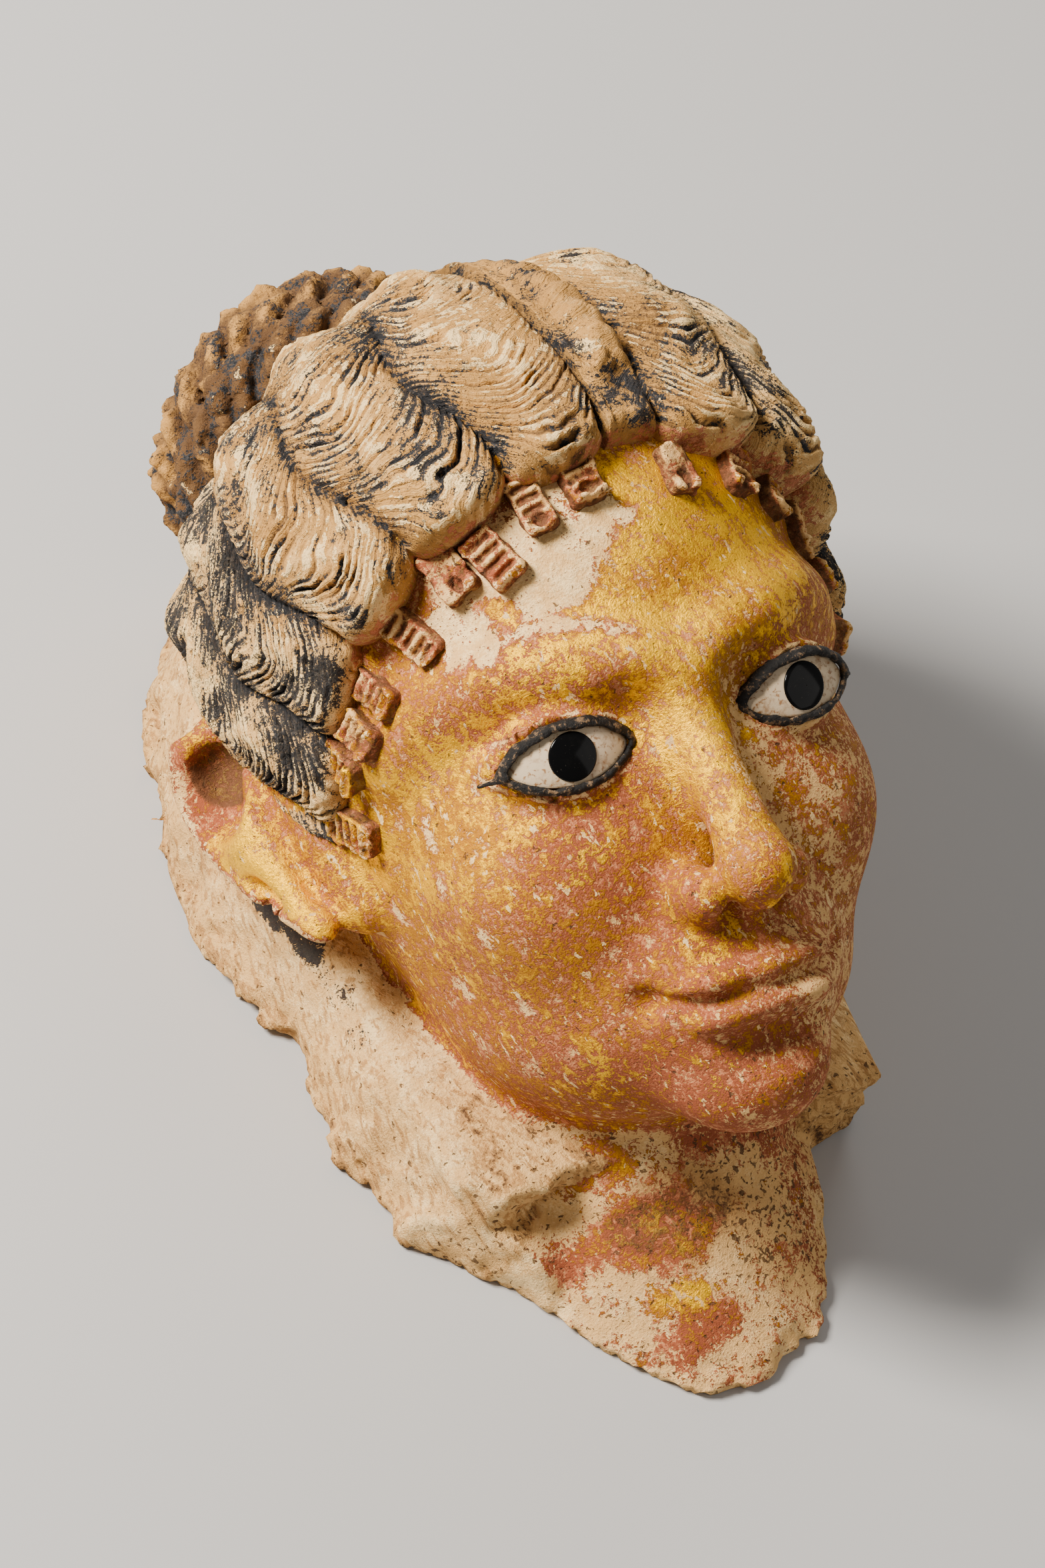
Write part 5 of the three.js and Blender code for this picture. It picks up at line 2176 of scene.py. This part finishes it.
@dataclass(frozen=True)
class HairFinish:
    """Waved plaster hair: black paint and painted shade in the grooves, cream crests and ochre earth
    over the crown.
    """

    cream: tuple = (0.70, 0.41, 0.145)
    pale: tuple = (0.93, 0.65, 0.290)
    ochre: tuple = (0.50, 0.255, 0.065)
    umber: tuple = (0.095, 0.048, 0.022)
    bole: tuple = (0.30, 0.07, 0.03)
    pink: tuple = (0.60, 0.20, 0.10)
    black: tuple = (0.014, 0.016, 0.019)
    slate: tuple = (0.062, 0.063, 0.066)

    def material(self) -> Material:
        """Builds the layered material.

        Returns:
            The material.
        """
        t = ShaderTree("painted_hair")
        bole_left, black_left = t.attribute(Zone.BOLE), t.attribute(Zone.BLACK)
        soil, crest = t.attribute(Zone.SOIL), t.attribute(Zone.CREST)
        patch = t.noise(6.0, 5.0, 0.68, 0.5, 2.1)
        flake = t.noise(1.7, 4.0, 0.72, 0.6, 5.7)
        fine = t.noise(0.55, 3.0, 0.65, 0.0, 9.3)
        stroke = t.run_noise((1.6, 1.9))
        hairs = t.run_noise((0.9, 4.6))

        light = t.ramp(patch + (fine - 0.5) * 0.6 - soil * 0.15, 0.36, 0.60)
        ground = t.blend(light, self.cream, self.pale)
        # Ochre and umber where the attribute is high: earth, and the painted shade that it carries in
        # grooves and on the coil.
        stain = soil + (patch - 0.5) * 1.9 + (flake - 0.5) * 1.7 + (stroke - 0.5) * 1.0
        ground = t.blend(t.ramp(stain, 0.20, 0.85), ground, self.ochre)
        ground = t.blend(t.ramp(stain + (fine - 0.5), 0.95, 1.6) * 0.9, ground, self.umber)
        # Painted shade: umber in the grooves and the coil's gaps, where the crest attribute is low.
        shade = t.ramp(crest + (flake - 0.5) * 0.9, 0.70, 0.05) * 0.72
        ground = t.blend(shade, ground, self.umber)
        bare = crest + (patch - 0.5) * 2.6 + (flake - 0.5) * 1.6 + (stroke - 0.5) * 1.2
        chip = t.ramp(bare, 1.05, 1.13)
        ground = t.blend(chip * 0.9, ground, self.pale)

        paint = black_left + (flake - 0.5) * 2.1 + (fine - 0.5) * 1.5
        paint = paint + (stroke - 0.5) * 1.7 + (patch - 0.5) * 2.2 - chip * 0.5
        black_on = t.ramp(paint, 0.50, 0.56)
        tone = t.blend(t.ramp(paint + (stroke - 0.5), 0.50, 0.90), self.slate, self.black)
        colour = t.blend(black_on * 0.95, ground, tone)
        specks = t.ramp(fine + (flake - 0.5) * 0.9 + (black_left - 0.5) * 0.16, 0.555, 0.615)
        colour = t.blend(specks * 0.7, colour, self.black)

        red_on = t.ramp(bole_left + (patch - 0.5) * 1.8 + (flake - 0.5) * 1.8, 0.50, 0.58)
        red = t.blend(t.ramp(flake, 0.45, 0.6), self.bole, self.pink)
        relief = hairs * 0.8 + stroke * 0.6 + fine * 0.45 + flake * 0.8 + patch * 0.4 + black_on * 0.10
        return t.dressed({
            "Base Color": t.blend(red_on * 0.9, colour, red),
            "Specular IOR Level": 0.2,
            "Roughness": 0.92 - black_on * 0.22 + (fine - 0.5) * 0.2,
            "Normal": t.bump(relief, 1.0, 1.0),
        })


@dataclass(frozen=True)
class LeadFinish:
    """Dark corroded lead."""

    dark: tuple = (0.007, 0.006, 0.0055)
    worn: tuple = (0.060, 0.046, 0.034)
    crust: tuple = (0.26, 0.15, 0.07)

    def material(self) -> Material:
        """Builds the rim's material.

        Returns:
            The material.
        """
        t = ShaderTree("lead_rim")
        patch, fine = t.noise(2.2, 4.0, 0.6, 0.2), t.noise(0.6, 4.0, 0.65, 0.0, 4.4)
        colour = t.blend(t.ramp(patch, 0.45, 0.75), self.dark, self.worn)
        crusted = t.ramp(fine + (patch - 0.5) * 1.4, 0.58, 0.72) * 0.65
        return t.dressed({
            "Base Color": t.blend(crusted, colour, self.crust),
            "Specular IOR Level": 0.25,
            "Roughness": 0.48 + fine * 0.3,
            "Normal": t.bump(fine * 0.6 + patch * 0.5, 0.9, 0.9),
        })


@dataclass(frozen=True)
class WhiteFinish:
    """Polished off-white stone with brown stains and crackle."""

    white: tuple = (0.62, 0.48, 0.31)
    stain: tuple = (0.26, 0.11, 0.030)

    def material(self) -> Material:
        """Builds the inlay's material.

        Returns:
            The material.
        """
        t = ShaderTree("inlay_stone")
        cloud, speck = t.noise(5.0, 4.0, 0.6), t.noise(1.3, 3.0, 0.6, 0.4, 5.5)
        clouded = t.ramp(cloud + (speck - 0.5) * 0.8, 0.46, 0.74) * 0.6
        colour = t.blend(clouded, self.white, self.stain)
        return t.dressed({
            "Base Color": t.blend(t.ramp(speck, 0.58, 0.64) * 0.75, colour, self.stain),
            "Roughness": 0.26 + speck * 0.15,
            "Normal": t.bump(speck, 0.08, 0.6),
        })


@dataclass(frozen=True)
class IrisFinish:
    """Polished black glass, lightly scratched and dusty."""

    black: tuple = (0.002, 0.002, 0.0022)
    dust: tuple = (0.05, 0.045, 0.035)

    def material(self) -> Material:
        """Builds the iris's material.

        Returns:
            The material.
        """
        t = ShaderTree("iris_glass")
        cloud, speck = t.noise(5.0, 4.0, 0.65), t.noise(0.5, 3.0, 0.7, 0.3, 6.6)
        dusty = t.ramp(speck, 0.66, 0.72) * 0.6 + t.ramp(cloud, 0.5, 0.9) * 0.10
        return t.dressed({
            "Base Color": t.blend(dusty, self.black, self.dust),
            "Specular IOR Level": 0.16,
            "Roughness": 0.07 + cloud * 0.10,
        })


# ---- floor, light and camera


@dataclass(frozen=True)
class Lamp:
    """A soft square light that faces the mask: metres, watts and tint."""

    name: str
    place: tuple
    size: float
    power: float
    tint: tuple

    def build(self) -> None:
        """Puts the light in the scene."""
        data = bpy.data.lights.new(self.name, "AREA")
        data.shape, data.size, data.energy, data.color = "SQUARE", self.size, self.power, self.tint
        lamp = bpy.data.objects.new(self.name, data)
        lamp.location = self.place
        way = Vector(LAMP_AIM) - Vector(self.place)
        lamp.rotation_euler = way.to_track_quat("-Z", "Y").to_euler()
        bpy.context.scene.collection.objects.link(lamp)


LAMP_AIM = (0.0, 0.0, 0.08)
LAMPS = (
    Lamp("key", (-0.86, 0.50, 1.06), 0.42, 63.0, (1.0, 0.94, 0.86)),
    Lamp("fill", (0.9, -0.9, 0.9), 1.2, 4.0, (1.0, 0.96, 0.92)),
    Lamp("back", (0.7, 1.0, 0.8), 0.8, 6.0, (1.0, 0.99, 0.97)),
)


@dataclass
class Studio:
    """A pale floor just under the mask, soft light and the camera at the photograph's angle."""

    floor: float = 3.0
    under: float = 0.0002
    grey: tuple = (0.44, 0.435, 0.43, 1.0)
    glow: tuple = (1.0, 0.965, 0.92, 1.0)
    glow_power: float = 0.22
    lens: float = 123.98
    sensor: float = 36.0
    clip: tuple = (0.05, 20.0)
    place: tuple = (-0.56974, -0.55442, 1.15309)
    turn: tuple = (
        (0.86821, 0.26829, -0.41742),
        (-0.44446, 0.79451, -0.41378),
        (0.22063, 0.54477, 0.80904),
    )

    def build_floor(self) -> None:
        """A plain pale plane."""
        bpy.ops.object.select_all(action="DESELECT")
        bpy.ops.mesh.primitive_plane_add(size=self.floor, location=(0, 0, -self.under))
        plane = bpy.context.object
        plane.name = "floor"
        look = ShaderTree("pale_floor").dressed({"Base Color": self.grey, "Roughness": 0.9})
        plane.data.materials.append(look)

    def build_lights(self) -> None:
        """A key light at the mask's right, a fill and a rim, in a soft grey world."""
        for lamp in LAMPS:
            lamp.build()
        world = bpy.data.worlds.new("studio")
        world.use_nodes = True
        back = world.node_tree.nodes["Background"]
        back.inputs["Color"].default_value = self.glow
        back.inputs["Strength"].default_value = self.glow_power
        bpy.context.scene.world = world

    def build_camera(self) -> None:
        """The camera at the photograph's viewing angle."""
        data = bpy.data.cameras.new("camera")
        data.lens, data.sensor_width = self.lens, self.sensor
        data.clip_start, data.clip_end = self.clip
        camera = bpy.data.objects.new("camera", data)
        camera.matrix_world = Matrix.Translation(Vector(self.place)) @ Matrix(self.turn).to_4x4()
        bpy.context.scene.collection.objects.link(camera)
        bpy.context.scene.camera = camera


def main() -> None:
    """Builds the mask, its studio and the camera."""
    logging.basicConfig(level=logging.INFO, format="%(message)s")
    form = HeadForm()
    plaster, hair = PlasterFinish().material(), HairFinish().material()
    lead, white, glass = LeadFinish().material(), WhiteFinish().material(), IrisFinish().material()
    pieces = [
        (PlasterSkin(form).build, CAD_BODY, Slot.PLASTER, plaster),
        (HairRolls(form, Side.RIGHT).build, CAD_BODY, Slot.PLASTER, hair),
        (HairRolls(form, Side.LEFT).build, CAD_BODY, Slot.PLASTER, hair),
        (CoiledPlait(form).build, CAD_BODY, Slot.PLASTER, hair),
        (ForeheadLocks(form).build, CAD_BODY, Slot.PLASTER, plaster),
    ]
    for side in Side:
        eye = InlaidEye(form, side)
        name = side.name.lower()
        pieces += [
            (eye.build_rim, f"eye_rim_{name}", Slot.RIM, lead),
            (eye.build_white, f"eye_white_{name}", Slot.WHITE, white),
            (eye.build_iris, f"eye_iris_{name}", Slot.IRIS, glass),
        ]
    for build, node, slot, look in pieces:
        piece = build()
        finish_piece(piece, (node,), look)
        LOG.info("%s: %d faces", piece.name, len(piece.data.polygons))
    studio = Studio()
    studio.build_floor()
    studio.build_lights()
    studio.build_camera()


if __name__ == "__main__":
    main()
